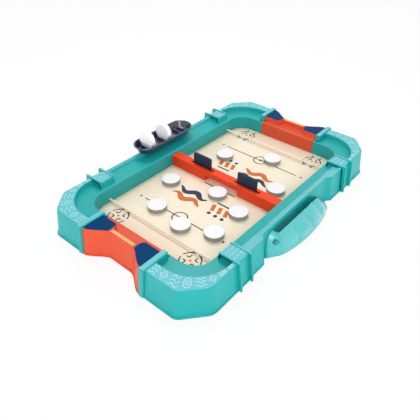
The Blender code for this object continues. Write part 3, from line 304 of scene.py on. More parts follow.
# Colours on a display, as red, green and blue out of 255
DISPLAY_FULL = 255
DISPLAY_GAMMA = 2.2
TURQUOISE = (36, 166, 166)
# painted sheen on the flat tops of the rims
RIM_SHEEN_TURQUOISE = (104, 190, 196)
GLOSS_TURQUOISE = (58, 178, 180)
FROSTED_TURQUOISE = (98, 188, 196)
RELIEF_TURQUOISE = (162, 218, 226)
ORANGE = (238, 66, 14)
PALE_ORANGE = (220, 84, 54)
FILM_ORANGE = (238, 120, 62)
NAVY = (2, 62, 108)
# painted highlight in the middle of the grips' films
SALMON_PAINTED_HIGHLIGHT = (252, 176, 120)
DARK_NAVY = (30, 44, 72)
SHUTTER_NAVY = (24, 42, 68)
CREAM = (248, 236, 212)
TAN = (224, 204, 176)
CORD_CREAM = (252, 242, 226)
PUCK_WHITE = (244, 244, 246)
# painted shade on the sides of the pucks that lie on the board
PUCK_SIDE_PAINTED_SHADE = (156, 150, 146)
STORED_PUCK_SIDE = (238, 236, 240)
PANEL_GREY = (196, 204, 206)
BOARD_BROWN = (176, 150, 118)
RUBBER_GREY = (46, 48, 52)
STEEL = (158, 160, 165)
INKS = {                    # printed pieces, with their material and colour
    "board_lines": ("ink_brown", (40, 36, 32)),
    "board_red_dots": ("ink_red", (214, 80, 56)),
    "ornament_navy": ("ink_navy", (8, 24, 66)),
    "ornament_orange": ("ink_orange", (206, 100, 4)),
    "ornament_teal": ("ink_teal", (16, 66, 82)),
}

# Surface of the plastics and of the sheet
NOISE_RANGE = (0.3, 0.7)    # in which most of a noise's values lie
MOTTLE = (-0.02, 0.02)      # shares by which a plastic's tone varies
SMUDGE = (-0.03, 0.05)      # on top of a plastic's roughness
GRAIN_DEPTH = 0.000004
FILM_SPECULAR = 0.04
LEVEL_RANGE = (0.75, 0.97)  # a normal's rise, from leaning to level, over which the rims' painted sheen comes in
SHEEN_HEIGHTS = (0.0362, 0.0372)           # heights between which the rims' tops take their painted sheen
SHEET_CLOUD = (0.0, 0.6)
SHEET_CLOUD_TONES = (0, -0.035)
SHEET_VEIN = (0.0, 0.25, 0.5, 0.8)      # low, high, start and end of the veins' strength
SHEET_SHADE_X = (0.12, 0.165)            # from the middle, where the painted shade towards the ends begins and is full
SHEET_SHADE_Y = (0.05, 0.11)
SHEET_SHADE_SHARE = 0.7
SHEET_DEPTH = 0.00001
PUCK_DEPTH = 0.00001

# Camera, floor and light
FOCAL_PIXELS = 435.35
IMAGE_PIXELS = 420
SENSOR_MILLIMETRES = 36
CAMERA_AZIMUTH = math.radians(-51.024)
CAMERA_ELEVATION = math.radians(38.683)
CAMERA_ROLL = math.radians(1.218)
CAMERA_DISTANCE = 0.61735
CAMERA_TARGET_X = -0.058036
CAMERA_TARGET_Y = -0.021267
LAMP_PLACE = (0.35, 0.45, 1.35)
LAMP_SIZE = 0.6
LAMP_POWER = 7.8
FILL_PLACE = (-0.7, -0.9, 1.0)
FILL_SIZE = 0.9
FILL_POWER = 5.8
SKY_STRENGTH = 0.6
GLOW_STRENGTH = 10.0
GLOW_RISE = 0.11            # sine of the angle above the horizon where the glow ends
FLOOR_SIZE = 4.0
FLOOR_COLOUR = (0.92, 0.92, 0.92, 1)
FLOOR_WHITE_SHARE = 0.88

# Worked out from the above
BOARD_Y = (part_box("divider")[0].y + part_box("divider")[1].y) / 2
PIECE_PLACE = Vector((0, BOARD_Y, 0))
CORNER_X = AREA_HALF_LENGTH - AREA_CORNER_RADIUS
CORNER_Y = AREA_HALF_WIDTH - AREA_CORNER_RADIUS
COLLAR_END = COLLAR_START + COLLAR_LENGTH
RIB_START = GRIP_HALF_WIDTH + FIT_GAP
RIGHT_ANGLE = math.pi / 2
ENDS = {"near": -1, "far": 1}
SIDES = {"tray": 1, "handle": -1}


# Shapes


def spaced(start, end, steps):
    """Even places from start to end."""
    return [start + (end - start) * index / steps for index in range(steps + 1)]


def ease_share(value, low, high):
    """A smooth share from 0 at low to 1 at high."""
    share = min(max((value - low) / (high - low), 0), 1)
    return share * share * (3 - 2 * share)


def oval(x, y, half_x, half_y, count, start=0.0, turn=1.0):
    """Points round an oval, or along an arc of it, with start and turn as shares of a full turn."""
    angles = [math.tau * (start + turn * index / count) for index in range(count if turn == 1 else count + 1)]
    return [(x + half_x * math.cos(angle), y + half_y * math.sin(angle)) for angle in angles]


def rounded(rows, closed=True):
    """A path through rows of coordinates and a rounding; all rounded corners have as many points."""
    made = []
    for index, (*place, radius) in enumerate(rows):
        corner = Vector(place)
        if not radius or (not closed and index in (0, len(rows) - 1)):
            made.append(corner)
            continue
        before = Vector(rows[index - 1][:-1]) - corner
        after = Vector(rows[(index + 1) % len(rows)][:-1]) - corner
        reach = min(radius, before.length * ROUND_LIMIT, after.length * ROUND_LIMIT)
        start = corner + before.normalized() * reach
        end = corner + after.normalized() * reach
        for share in spaced(0, 1, ROUND_STEPS):
            made.append(start.lerp(corner, share).lerp(corner.lerp(end, share), share))
    return made


def add_loft(bm, loops, closed=False):
    """Skin closed loops of points into a bmesh, capped at both ends unless the loft itself is closed."""
    rings = [[bm.verts.new(point) for point in loop] for loop in loops]
    pairs = list(zip(rings, rings[1:]))
    if closed:
        pairs.append((rings[-1], rings[0]))
    for ring, following in pairs:
        for index, vertex in enumerate(ring):
            after = (index + 1) % len(ring)
            bm.faces.new((vertex, ring[after], following[after], following[index]))
    if not closed:
        caps = [bm.faces.new(rings[0]), bm.faces.new(rings[-1])]
        bm.normal_update()
        bmesh.ops.triangulate(bm, faces=caps)


def strip_loop(left, right, low, high):
    """One section of a flat strip between two points in plan."""
    return [(*left, low), (*left, high), (*right, high), (*right, low)]


def add_strip(bm, path, width, low, high, closed=False):
    """A flat raised line along a path in plan; its width may follow the share of the way along."""
    points = [Vector(point) for point in path]
    count = len(points)
    loops = []
    for index, point in enumerate(points):
        before = points[index - 1] if closed or index else point
        after = points[(index + 1) % count] if closed or index < count - 1 else point
        along = (after - before).normalized()
        reach = width(index / max(count - 1, 1)) / 2 if callable(width) else width / 2
        side = Vector((-along.y, along.x)) * reach
        loops.append(strip_loop(point + side, point - side, low, high))
    add_loft(bm, loops, closed)


def add_box(bm, low, high, edge):
    """A box with rounded edges between two corners."""
    part = bmesh.new()
    bmesh.ops.create_cube(part, size=1.0)
    bmesh.ops.scale(part, vec=Vector(high) - Vector(low), verts=part.verts)
    bmesh.ops.translate(part, vec=(Vector(high) + Vector(low)) / 2, verts=part.verts)
    bmesh.ops.bevel(part, geom=part.edges, offset=edge, segments=BOX_EDGE_STEPS, profile=ROUND_PROFILE,
                    affect="EDGES")
    mesh = bpy.data.meshes.new("box")
    part.to_mesh(mesh)
    part.free()
    bm.from_mesh(mesh)
    bpy.data.meshes.remove(mesh)


def add_object(name, data):
    """A new object in the scene."""
    made = bpy.data.objects.new(name, data)
    bpy.context.scene.collection.objects.link(made)
    return made


def piece_from(name, bm, place=PIECE_PLACE):
    """An object from a bmesh, shaded smooth up to its edges."""
    bmesh.ops.recalc_face_normals(bm, faces=bm.faces)
    mesh = bpy.data.meshes.new(name)
    bm.to_mesh(mesh)
    bm.free()
    mesh.shade_smooth()
    mesh.set_sharp_from_angle(angle=math.radians(SHARP_ANGLE))
    made = add_object(name, mesh)
    made.location = place
    weighted = made.modifiers.new("even_shading", "WEIGHTED_NORMAL")
    weighted.keep_sharp = True
    return made


def lofted(name, loops):
    """A closed piece through closed loops."""
    bm = bmesh.new()
    add_loft(bm, loops)
    return piece_from(name, bm)


def dress(piece, material, slot, body, *nodes):
    """Give a piece its material and body, and let it stand for CAD nodes."""
    piece.data.materials.append(material)
    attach(piece, body)
    if nodes:
        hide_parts(*nodes)


def dress_turquoise(piece, material, *nodes):
    """Dress a turquoise piece of the frame."""
    dress(piece, material, "turquoise_plastic", "frame", *nodes)


# Frame


def outer_lean(height):
    """How far the outer wall stands out at a height, from its place at the rim."""
    return OUTER_DRAFT * (RIM_HEIGHT - height) / (RIM_HEIGHT - PANEL_UNDERSIDE)


def frame_section(inner, step, outer, ledge_rise=0, rim_drop=0):
    """One closed section of the hollow frame, with round moulded edges."""
    ledge_end = LEDGE_HEIGHT + ledge_rise
    rim_start = RIM_HEIGHT - rim_drop
    shape = [
        (inner, 0, WALL_FOOT, 0),
        (inner, 0, LEDGE_HEIGHT, LEDGE_ROUND),
        (step, 0, ledge_end, STEP_ROUND),
        (step, STEP_RUN, rim_start, STEP_ROUND),
        (outer, 0, RIM_HEIGHT, RIM_ROUND),
        (outer, outer_lean(LIP_TOP), LIP_TOP, LIP_ROUND),
        (outer, outer_lean(LIP_TOP) + LIP_PROUD, LIP_TOP, LIP_ROUND),
        (outer, OUTER_DRAFT + LIP_PROUD, PANEL_UNDERSIDE, LIP_ROUND),
        (outer, OUTER_DRAFT - WALL, PANEL_UNDERSIDE, 0),
        (outer, -WALL, RIM_HEIGHT - WALL, 0),
        (step, STEP_RUN + WALL, rim_start - WALL, 0),
        (step, WALL, ledge_end - WALL, 0),
        (inner, WALL, LEDGE_HEIGHT - WALL, 0),
        (inner, WALL, WALL_FOOT, 0),
    ]
    return rounded([(*line(offset), height, radius) for line, offset, height, radius in shape])


def side_section(x, side, step_place, outer_place, ledge_rise=0, rim_drop=0):
    """A section of the frame across a long side, at x."""
    def line(start):
        return lambda offset: (x, side * (start + offset))

    return frame_section(line(AREA_HALF_WIDTH), line(step_place), line(outer_place), ledge_rise, rim_drop)


def chamfer_corners(offset):
    """The two corners of the outer chamfer, moved outwards by an offset."""
    size = math.hypot(CHAMFER_LENGTH, CHAMFER_WIDTH)
    normal_x = CHAMFER_WIDTH / size
    normal_y = CHAMFER_LENGTH / size
    side_corner = (RIM_HALF_LENGTH - CHAMFER_LENGTH + offset * (1 - normal_y) / normal_x,
                   RIM_HALF_WIDTH + offset)
    end_corner = (RIM_HALF_LENGTH + offset,
                  RIM_HALF_WIDTH - CHAMFER_WIDTH + offset * (1 - normal_x) / normal_y)
    return side_corner, end_corner


def outer_path(offset):
    """A corner's outer edge from its collar side round to its end, always with the same points."""
    side_corner, end_corner = chamfer_corners(offset)
    corners = rounded([
        (CORNER_X, RIM_HALF_WIDTH + offset, 0),
        (*side_corner, PLAN_ROUND),
        (*end_corner, PLAN_ROUND),
        (RIM_HALF_LENGTH + offset, CORNER_Y, 0),
    ], False)
    runs = {place * (ROUND_STEPS + 1): steps for place, steps in enumerate(PLAN_RUNS)}
    path = []
    for index, (point, following) in enumerate(zip(corners, corners[1:])):
        steps = runs.get(index, 1)
        path += [point.lerp(following, step / steps) for step in range(steps)]
    return path + [corners[-1]]


def corner_sections(side_x, side_y):
    """Sections of one corner housing, from its collar round to its rib."""
    def signed(point):
        return side_x * point[0], side_y * point[1]

    def ring(radius, anchor, angle):
        return lambda offset: signed((anchor[0] + (radius + offset) * math.cos(angle),
                                      anchor[1] + (radius + offset) * math.sin(angle)))

    start = COLLAR_END
    end = RIB_START + FIT_GAP
    middle = (CORNER_X, CORNER_Y)
    stations = [((start, CORNER_Y), RIGHT_ANGLE, lambda offset: signed((start, RIM_HALF_WIDTH + offset)))]
    for index, point in enumerate(outer_path(0)):
        angle = math.atan2(point.y - CORNER_Y, point.x - CORNER_X)
        stations.append((middle, angle, lambda offset, index=index: signed(outer_path(offset)[index])))
    stations.append(((CORNER_X, end), 0, lambda offset: signed((RIM_HALF_LENGTH + offset, end))))
    return [frame_section(ring(AREA_CORNER_RADIUS, anchor, angle), ring(STEP_RADIUS, anchor, angle), outer)
            for anchor, angle, outer in stations]


def slab_loops(shape, start, thickness, placed):
    """Loops of a thin slab whose outline has (reach, height, rounding), with eased side edges."""
    ease = thickness * SLAB_EASE
    centre = Vector((sum(row[0] for row in shape), sum(row[1] for row in shape))) / len(shape)
    loops = []
    for across, shrink in ((0, ease), (ease, 0), (thickness - ease, 0), (thickness, ease)):
        rows = []
        for reach, height, radius in shape:
            towards = (centre - Vector((reach, height))).normalized() * shrink
            rows.append((*placed(reach + towards.x, start + across, height + towards.y), radius))
        loops.append(rounded(rows))
    return loops


def rib_loops(side_x, side_y):
    """The rib that closes a corner housing beside its grip."""
    top = RIM_HEIGHT + RIB_RISE
    wall = AREA_HALF_LENGTH + RIB_WALL_INSET
    inner = AREA_HALF_LENGTH + RIB_INSET
    foot = RIM_HALF_LENGTH + OUTER_DRAFT + LIP_PROUD + RIB_FOOT_PROUD
    back = RIM_HALF_LENGTH + OUTER_DRAFT - WALL
    board_edge = AREA_HALF_LENGTH + BOARD_BORDER + WALL
    shape = [
        (wall, WALL_FOOT, 0),
        (wall, LEDGE_HEIGHT, LEDGE_ROUND),
        (inner, LEDGE_HEIGHT, STEP_ROUND),
        (inner, top, RIM_ROUND),
        (RIM_HALF_LENGTH + RIB_PROUD, top, RIM_ROUND),
        (foot, LIP_TOP, LIP_ROUND),
        (foot, PANEL_UNDERSIDE, 0),
        (back, PANEL_UNDERSIDE, 0),
        (back, BOSS_FOOT, 0),
        (board_edge, BOSS_FOOT, 0),
        (board_edge, WALL_FOOT, 0),
    ]
    return slab_loops(shape, RIB_START, RIB_THICKNESS, lambda x, y, z: (side_x * x, side_y * y, z))


def build_corners():
    """The four corner housings with their ribs and embossed bands."""
    for end, side_x in ENDS.items():
        for side, side_y in SIDES.items():
            node = f"{end}_{side}_corner"
            dress_turquoise(lofted(node + "_shell", corner_sections(side_x, side_y)), turquoise, node)
            dress_turquoise(lofted(node + "_rib", rib_loops(side_x, side_y)), turquoise)
            dress_turquoise(band_ground(node + "_band_ground", side_x, side_y), frosted)
            dress_turquoise(band_piece(node + "_band", side_x, side_y), relief)


def outer_at(angle, inset):
    """Where a ray from a corner's middle meets the outer edge, moved inwards."""
    direction = Vector((math.cos(angle), math.sin(angle)))
    centre = Vector((CORNER_X, CORNER_Y))
    side_corner, end_corner = chamfer_corners(-inset)
    reaches = [
        (RIM_HALF_WIDTH - inset - CORNER_Y) / max(direction.y, LEAST_SLOPE),
        (RIM_HALF_LENGTH - inset - CORNER_X) / max(direction.x, LEAST_SLOPE),
    ]
    along = Vector(end_corner) - Vector(side_corner)
    normal = Vector((-along.y, along.x))
    to_chamfer = normal.dot(Vector(side_corner) - centre) / normal.dot(direction)
    if to_chamfer > 0:
        reaches.append(to_chamfer)
    return centre + direction * min(reaches)


def band_point(along, across, side_x, side_y):
    """A place in the embossed band: along from collar to rib, across from the step to the outer edge."""
    centre = Vector((CORNER_X, CORNER_Y))
    straight_x = CORNER_X - COLLAR_END - BAND_MARGIN
    straight_y = CORNER_Y - RIB_START - RIB_THICKNESS - BAND_MARGIN
    arc = RIGHT_ANGLE * (STEP_RADIUS + RIM_ROUND)
    gone = along * (straight_x + arc + straight_y)
    shift = Vector((min(gone - straight_x, 0), -max(gone - straight_x - arc, 0)))
    angle = RIGHT_ANGLE * (1 - min(max((gone - straight_x) / arc, 0), 1))
    inner = centre + Vector((math.cos(angle), math.sin(angle))) * (STEP_RADIUS + STEP_RUN + BAND_MARGIN)
    place = inner.lerp(outer_at(angle, RIM_ROUND / 2 + BAND_MARGIN), across) + shift
    return side_x * place.x, side_y * place.y


def band_motifs():
    """The band's rings, waves and diamonds in turn, as (path in along and across, closed or not)."""
    motifs = []
    half = MOTIF_SHARE / BAND_CELLS
    for index in range(BAND_CELLS):
        middle = (index + 0.5) / BAND_CELLS
        sizes, count = {0: RING_MOTIF, 2: DIAMOND_MOTIF}.get(index % 4, ((), 0))
        for size in sizes:
            motifs.append((oval(middle, 0.5, half * size * 2, size, count), True))
        for place in () if sizes else BAND_WAVE_PLACES:
            wave = [(middle + half * (2 * share - 1),
                     place + BAND_WAVE_RISE * math.sin(math.tau * BAND_WAVE_TURNS * share + index))
                    for share in spaced(0, 1, BAND_WAVE_STEPS)]
            motifs.append((wave, False))
    return motifs


def band_piece(name, side_x, side_y):
    """The raised lines of one corner's band."""
    bm = bmesh.new()
    for path, closed in band_motifs():
        placed = [band_point(along, across, side_x, side_y) for along, across in path]
        add_strip(bm, placed, BAND_LINE, RIM_HEIGHT - BAND_SINK, RIM_HEIGHT + BAND_RELIEF, closed)
    return piece_from(name, bm)


def band_ground(name, side_x, side_y):
    """The frosted ground of one corner's band."""
    loops = []
    for share in spaced(0, 1, BAND_STEPS):
        inner, outer = [band_point(share, across, side_x, side_y) for across in (0, 1)]
        loops.append(strip_loop(inner, outer, RIM_HEIGHT - BAND_SINK, RIM_HEIGHT + BAND_GROUND))
    return lofted(name, loops)


def build_rails():
    """The two long rails; the handle side's curves in behind the handle."""
    half = [(COLLAR_START, RAIL_REACH)]
    for x in spaced(RECESS_START, RECESS_END, RECESS_STEPS):
        half.append((x, RECESS_REACH + (RAIL_REACH - RECESS_REACH) * ease_share(x, RECESS_END, RECESS_START)))
    rails = {
        "tray": ([(-COLLAR_START, RAIL_REACH), half[0]], TRAY_RAIL_STEP, TRAY_RAIL_RIM_DROP),
        "handle": ([(-x, reach) for x, reach in half] + half[::-1], HANDLE_RAIL_STEP, HANDLE_RAIL_RIM_DROP),
    }
    for side, (stations, step_place, rim_drop) in rails.items():
        sections = [side_section(x, SIDES[side], step_place, reach, RAIL_LEDGE_RISE, rim_drop)
                    for x, reach in stations]
        node = side + "_side_rail"
        dress_turquoise(lofted(node + "_shell", sections), turquoise, node)


def fin_shape(side):
    """A collar's fin, as (distance from the middle of the board, height, rounding)."""
    top = RIM_HEIGHT + FIN_RISE
    rim = RIM_HALF_WIDTH + FINS_PROUD[side]
    foot = rim + OUTER_DRAFT
    back = RIM_HALF_WIDTH + OUTER_DRAFT - WALL
    return [
        (COLLAR_STEPS[side], BOSS_FOOT, 0),
        (COLLAR_STEPS[side], top, RIM_ROUND),
        (rim, top, RIM_ROUND),
        (foot, LIP_TOP, LIP_ROUND),
        (foot, PANEL_UNDERSIDE, 0),
        (back, PANEL_UNDERSIDE, 0),
        (back, BOSS_FOOT, 0),
    ]


def zigzag(start, end, y):
    """A toothed line along a collar's plate."""
    places = spaced(start, end, PLATE_TEETH + 2)[1:-1]
    return [(x, y + (BAND_TOOTH if index % 2 else -BAND_TOOTH)) for index, x in enumerate(places)]


def build_collar(node, side, side_x, side_y):
    """One collar: a sleeve, a raised plate with zigzags, and two fins."""
    step_place = COLLAR_STEPS[side]
    ends = (COLLAR_START, COLLAR_END)
    sections = [side_section(side_x * x, side_y, step_place, RIM_HALF_WIDTH) for x in ends]
    dress_turquoise(lofted(node + "_sleeve", sections), turquoise, node)
    inset = FIN_THICKNESS / 2
    near, far = sorted((side_y * (step_place + STEP_RUN), side_y * (RIM_HALF_WIDTH - STEP_RUN)))
    left, right = sorted((side_x * (COLLAR_START + inset), side_x * (COLLAR_END - inset)))
    top = RIM_HEIGHT + COLLAR_RISE
    bm = bmesh.new()
    add_box(bm, (left, near, RIM_HEIGHT - WALL / 2), (right, far, top), STEP_ROUND)
    dress_turquoise(piece_from(node + "_plate", bm), frosted)
    bm = bmesh.new()
    for share in PLATE_LINE_SHARES:
        path = zigzag(left, right, near + (far - near) * share)
        add_strip(bm, path, BAND_LINE, top - BAND_SINK, top + BAND_RELIEF)
    dress_turquoise(piece_from(node + "_zigzags", bm), relief)
    for fin, start in (("inner_fin", COLLAR_START), ("outer_fin", COLLAR_END - FIN_THICKNESS)):
        loops = slab_loops(fin_shape(side), start, FIN_THICKNESS, lambda y, x, z: (side_x * x, side_y * y, z))
        dress_turquoise(lofted(f"{node}_{fin}", loops), turquoise)


def build_collars():
    """The four collars, where the rails meet the corner housings."""
    for end, side_x in ENDS.items():
        for side, side_y in SIDES.items():
            build_collar(f"{end}_{side}_collar", side, side_x, side_y)


def grip_reach(y):
    """The outer edge of a grip, which curves in towards its middle."""
    ease = ease_share(abs(y), GRIP_FLAT_HALF, GRIP_HALF_WIDTH)
    return GRIP_MIDDLE_REACH + (RIM_HALF_LENGTH - GRIP_MIDDLE_REACH) * ease


def grip_step(y):
    """The inner edge of a grip's raised part, which steps out round the pocket."""
    share = min(max((abs(y) - POCKET_OUTER_HALF) / (POCKET_INNER_HALF - POCKET_OUTER_HALF), 0), 1)
    return GRIP_POCKET_REACH + (GRIP_STEP - GRIP_POCKET_REACH) * share


def build_grips():
    """The two orange grips and their printed films."""
    for end, side_x in ENDS.items():
        def line(start, y):
            return lambda offset: (side_x * (start + offset), y)

        sections = [frame_section(line(AREA_HALF_LENGTH, y), line(grip_step(y), y), line(grip_reach(y), y))
                    for y in spaced(-GRIP_HALF_WIDTH, GRIP_HALF_WIDTH, GRIP_STATIONS)]
        node = end + "_grip"
        dress(lofted(node + "_shell", sections), pale_orange, "orange_plastic", "frame", node)
        half_width = GRIP_HALF_WIDTH - FIT_GAP
        low = RIM_HEIGHT - FILM_SINK
        high = RIM_HEIGHT + FILM_THICKNESS
        loops = []
        for y in spaced(-half_width, half_width, GRIP_STATIONS):
            inner = side_x * (grip_step(y) + FILM_MARGIN)
            outer = side_x * (grip_reach(y) - FILM_MARGIN)
            loops.append(strip_loop((inner, y), (outer, y), low, high))
        dress(lofted(node + "_film_print", loops), film_print, "navy_film", "frame", node + "_film")


# Carry handle


def handle_reach(x):
    """How far out the handle stands: a bow over the finger gap, straight tapers over its end blocks."""
    heel = HANDLE_NEAR_GAP
    if abs(x) <= heel:
        return HANDLE_HEEL_REACH + HANDLE_BOW * (1 - (abs(x) / heel) ** BOW_POWER)
    tip = HANDLE_NEAR_TIP if x < 0 else HANDLE_FAR_TIP
    return HANDLE_TIP_REACH + (HANDLE_HEEL_REACH - HANDLE_TIP_REACH) * (abs(tip) - abs(x)) / (abs(tip) - heel)


def handle_top(x):
    """The handle's top, which rounds down to the near tip and slopes down to the far tip."""
    near_share = min(max((HANDLE_NEAR_TIP + HANDLE_NEAR_FALL - x) / HANDLE_NEAR_FALL, 0), 1)
    far_share = ease_share(x, HANDLE_FAR_TIP - HANDLE_FAR_FALL, HANDLE_FAR_TIP)
    fall = HANDLE_TOP - HANDLE_TIP_HEIGHT
    return HANDLE_TIP_HEIGHT + fall * (math.sqrt(1 - near_share * near_share) - far_share)


def wall_face(height):
    """The rail's outer face behind the handle at a height, with the clearance to the handle."""
    return RECESS_REACH + outer_lean(height) + FIT_GAP


def handle_section(x, free):
    """A section of the handle; a free one has its own back, any other lies against the rail."""
    front = handle_reach(x)
    size = (handle_top(x) - HANDLE_UNDERSIDE) / (HANDLE_TOP - HANDLE_UNDERSIDE)

    def level(height):
        return HANDLE_UNDERSIDE + (height - HANDLE_UNDERSIDE) * size

    crest = HANDLE_BACK if free else wall_face(level(HANDLE_TOP - HANDLE_CREST))
    shoulder = crest + (front - crest) * SHOULDER_SHARE
    belly = level(HANDLE_BELLY_HEIGHT)
    shape = [
        (crest, level(HANDLE_TOP), HANDLE_ROUND),
        (shoulder, level(HANDLE_TOP - HANDLE_SHOULDER_DROP), SHOULDER_ROUND),
        (front, belly, BELLY_ROUND),
        (front, HANDLE_UNDERSIDE, HANDLE_ROUND),
    ]
    if free:
        back = front - HANDLE_BAR
        inner_shoulder = level(HANDLE_TOP - HANDLE_SHOULDER_DROP - HANDLE_BAR)
        shape += [
            (back, HANDLE_UNDERSIDE, HANDLE_INNER_ROUND),
            (back, LIP_TOP, 0),
            (back, level(HANDLE_BELLY_HEIGHT - HANDLE_BAR), HANDLE_ROUND),
            (shoulder - HANDLE_BAR / 2, inner_shoulder, HANDLE_ROUND),
        ]
    else:
        lip_face = wall_face(PANEL_UNDERSIDE) + LIP_PROUD
        above_lip = LIP_TOP + FIT_GAP
        shape += [
            (lip_face, HANDLE_UNDERSIDE, HANDLE_INNER_ROUND),
            (lip_face, above_lip, 0),
            (wall_face(above_lip), above_lip, HANDLE_INNER_ROUND),
            (wall_face(belly), belly, HANDLE_ROUND),
        ]
    return grooved_front(rounded([(x, -y, z, radius * size) for y, z, radius in shape]), x)


def grooved_front(path, x):
    """A handle's section with more points on its front, pressed in where a finger groove runs."""
    made = []
    corner_points = ROUND_STEPS + 1
    for index, point in enumerate(path):
        following = path[(index + 1) % len(path)]
        front = index < corner_points * FRONT_CORNERS - 1
        runs = FRONT_STEPS if front and index % corner_points == ROUND_STEPS else 1
        for step in range(runs):
            place = point.lerp(following, step / runs)
            if front:
                place.y += GROOVE_DEPTH * groove_share(x, place.z)
            made.append(place)
    return made


def groove_share(x, z):
    """How deep a point of the handle's front lies in a finger groove, from 0 to 1."""
    share = 0
    for (top_x, top_z), (foot_x, foot_z) in GROOVES:
        down = (top_z - z) / (top_z - foot_z)
        away = (x - top_x - (foot_x - top_x) * down) / GROOVE_HALF_WIDTH
        ends = ease_share(down, *GROOVE_FOOT) * ease_share(down, *GROOVE_HEAD)
        share = max(share, math.exp(-away * away) * ends)
    return share


def carve(piece, tool):
    """Cut a tool out of a piece, for good."""
    step = piece.modifiers.new("carve", "BOOLEAN")
    step.solver = "EXACT"
    step.operation = "DIFFERENCE"
    step.object = tool
    bpy.context.view_layer.update()
    graph = bpy.context.evaluated_depsgraph_get()
    mesh = bpy.data.meshes.new_from_object(piece.evaluated_get(graph))
    piece.modifiers.remove(step)
    piece.data = mesh
    bpy.data.objects.remove(tool, do_unlink=True)


def build_handle():
    """The bowed carry handle, with its finger grooves and screw wells."""
    near_block = spaced(HANDLE_NEAR_TIP, -HANDLE_NEAR_GAP - HANDLE_BLEND, HANDLE_BLOCK_STEPS)
    bar = spaced(-HANDLE_NEAR_GAP, HANDLE_FAR_GAP, HANDLE_BAR_STEPS)
    far_block = spaced(HANDLE_FAR_GAP + HANDLE_BLEND, HANDLE_FAR_TIP, HANDLE_BLOCK_STEPS)
    stretches = ((near_block, False), (bar, True), (far_block, False))
    bow = lofted("carry_handle_bow", [handle_section(x, free) for places, free in stretches for x in places])
    for end in ENDS:
        low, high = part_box(end + "_handle_screw")
        x = (low.x + high.x) / 2
        z = (low.z + high.z) / 2
        floor = BOARD_Y - wall_face(z) - WELL_FLOOR
        outside = BOARD_Y - HANDLE_HEEL_REACH - HANDLE_BOW
        bm = bmesh.new()
        bmesh.ops.create_cone(bm, cap_ends=True, segments=WELL_SIDES, radius1=WELL_RADIUS,
                              radius2=WELL_RADIUS, depth=floor - outside)
        well = piece_from(end + "_well", bm, (x, (floor + outside) / 2, z))
        well.rotation_euler.x = RIGHT_ANGLE
        carve(bow, well)
    dress_turquoise(bow, glossy_turquoise, "carry_handle")


# Tray, pucks, cords and shutters


def stadium(radius, height):
    """A loop with straight sides along X and round ends."""
    loop = []
    for side, start in ((1, -0.25), (-1, 0.25)):
        loop += oval(TRAY_MIDDLE_X + side * TRAY_STRAIGHT_HALF, TRAY_MIDDLE_Y, radius, radius,
                     TRAY_END_STEPS, start, 0.5)
    return [(*point, height) for point in loop]


def add_tray_shell(bm):
    """The boat-shaped tray itself."""
    flare = (TRAY_TOP_RADIUS - TRAY_FOOT_RADIUS) / (TRAY_TOP - TRAY_FOOT)
    lip_low = TRAY_TOP - TRAY_WALL
    floor = TRAY_FOOT + TRAY_WALL
    profile = [
        (0, TRAY_FOOT, 0),
        (TRAY_FOOT_RADIUS, TRAY_FOOT, TRAY_ROUND),
        (TRAY_TOP_RADIUS - TRAY_LIP - flare * TRAY_WALL, lip_low, TRAY_LIP / 2),
        (TRAY_TOP_RADIUS, lip_low, TRAY_LIP_ROUND),
        (TRAY_TOP_RADIUS, TRAY_TOP, TRAY_ROUND),
        (TRAY_TOP_RADIUS - TRAY_WALL, TRAY_TOP, TRAY_ROUND),
        (TRAY_FOOT_RADIUS - TRAY_WALL + flare * TRAY_WALL, floor, TRAY_FLOOR_ROUND),
        (0, floor, 0),
    ]
    path = rounded([(radius, 0, height, ease) for radius, height, ease in profile], False)[1:-1]
    add_loft(bm, [stadium(point.x, point.z) for point in path])


def add_tray_ribs(bm):
    """Floor ribs on both sides of each slot for a puck."""
    floor = TRAY_FOOT + TRAY_WALL
    half = TRAY_RIB_THICKNESS / 2
    for index in (-1, 0, 1):
        for side in (-1, 1):
            x = TRAY_MIDDLE_X + index * TRAY_SLOT_PITCH + side * TRAY_RIB_OFFSET
            add_box(bm, (x - half, TRAY_MIDDLE_Y - TRAY_RIB_HALF_WIDTH, floor - TRAY_WALL / 2),
                    (x + half, TRAY_MIDDLE_Y + TRAY_RIB_HALF_WIDTH, floor + TRAY_RIB_HEIGHT), TRAY_EDGE)


def add_tray_hooks(bm):
    """The hooks that hold the tray on its rail."""
    left = TRAY_MIDDLE_X - HOOK_HALF_LENGTH
    right = TRAY_MIDDLE_X + HOOK_HALF_LENGTH
    root = TRAY_FOOT + TRAY_WALL / 2
    outer_foot = RIM_HEIGHT - OUTER_HOOK_DROP
    outer_face = RAIL_REACH + outer_lean(outer_foot) + FIT_GAP
    inner_foot = RIM_HEIGHT - TRAY_RAIL_RIM_DROP - INNER_HOOK_DROP
    inner_face = TRAY_RAIL_STEP - FIT_GAP
    add_box(bm, (left, outer_face, outer_foot), (right, outer_face + HOOK_THICKNESS, root), TRAY_EDGE)
    add_box(bm, (left, inner_face - HOOK_THICKNESS, inner_foot), (right, inner_face, root), TRAY_EDGE)


def build_tray():
    """The puck tray with its ribs and hooks."""
    shapes = {"shell": add_tray_shell, "ribs": add_tray_ribs, "hooks": add_tray_hooks}
    for name, add_shape in shapes.items():
        bm = bmesh.new()
        add_shape(bm)
        nodes = ["puck_tray"] if name == "shell" else []
        dress(piece_from("puck_tray_" + name, bm), tray_plastic, "dark_navy_plastic", "tray", *nodes)


def puck_mesh(radius, height):
    """A puck about the origin, its faces up and down."""
    half = height / 2
    path = rounded([(0, 0, half, 0), (radius, 0, half, PUCK_ROUND), (radius, 0, -half, PUCK_ROUND),
                    (0, 0, -half, 0)], False)
    bm = bmesh.new()
    add_loft(bm, [[(*place, point.z) for place in oval(0, 0, point.x, point.x, PUCK_SIDES)]
                  for point in path[1:-1]])
    return bm


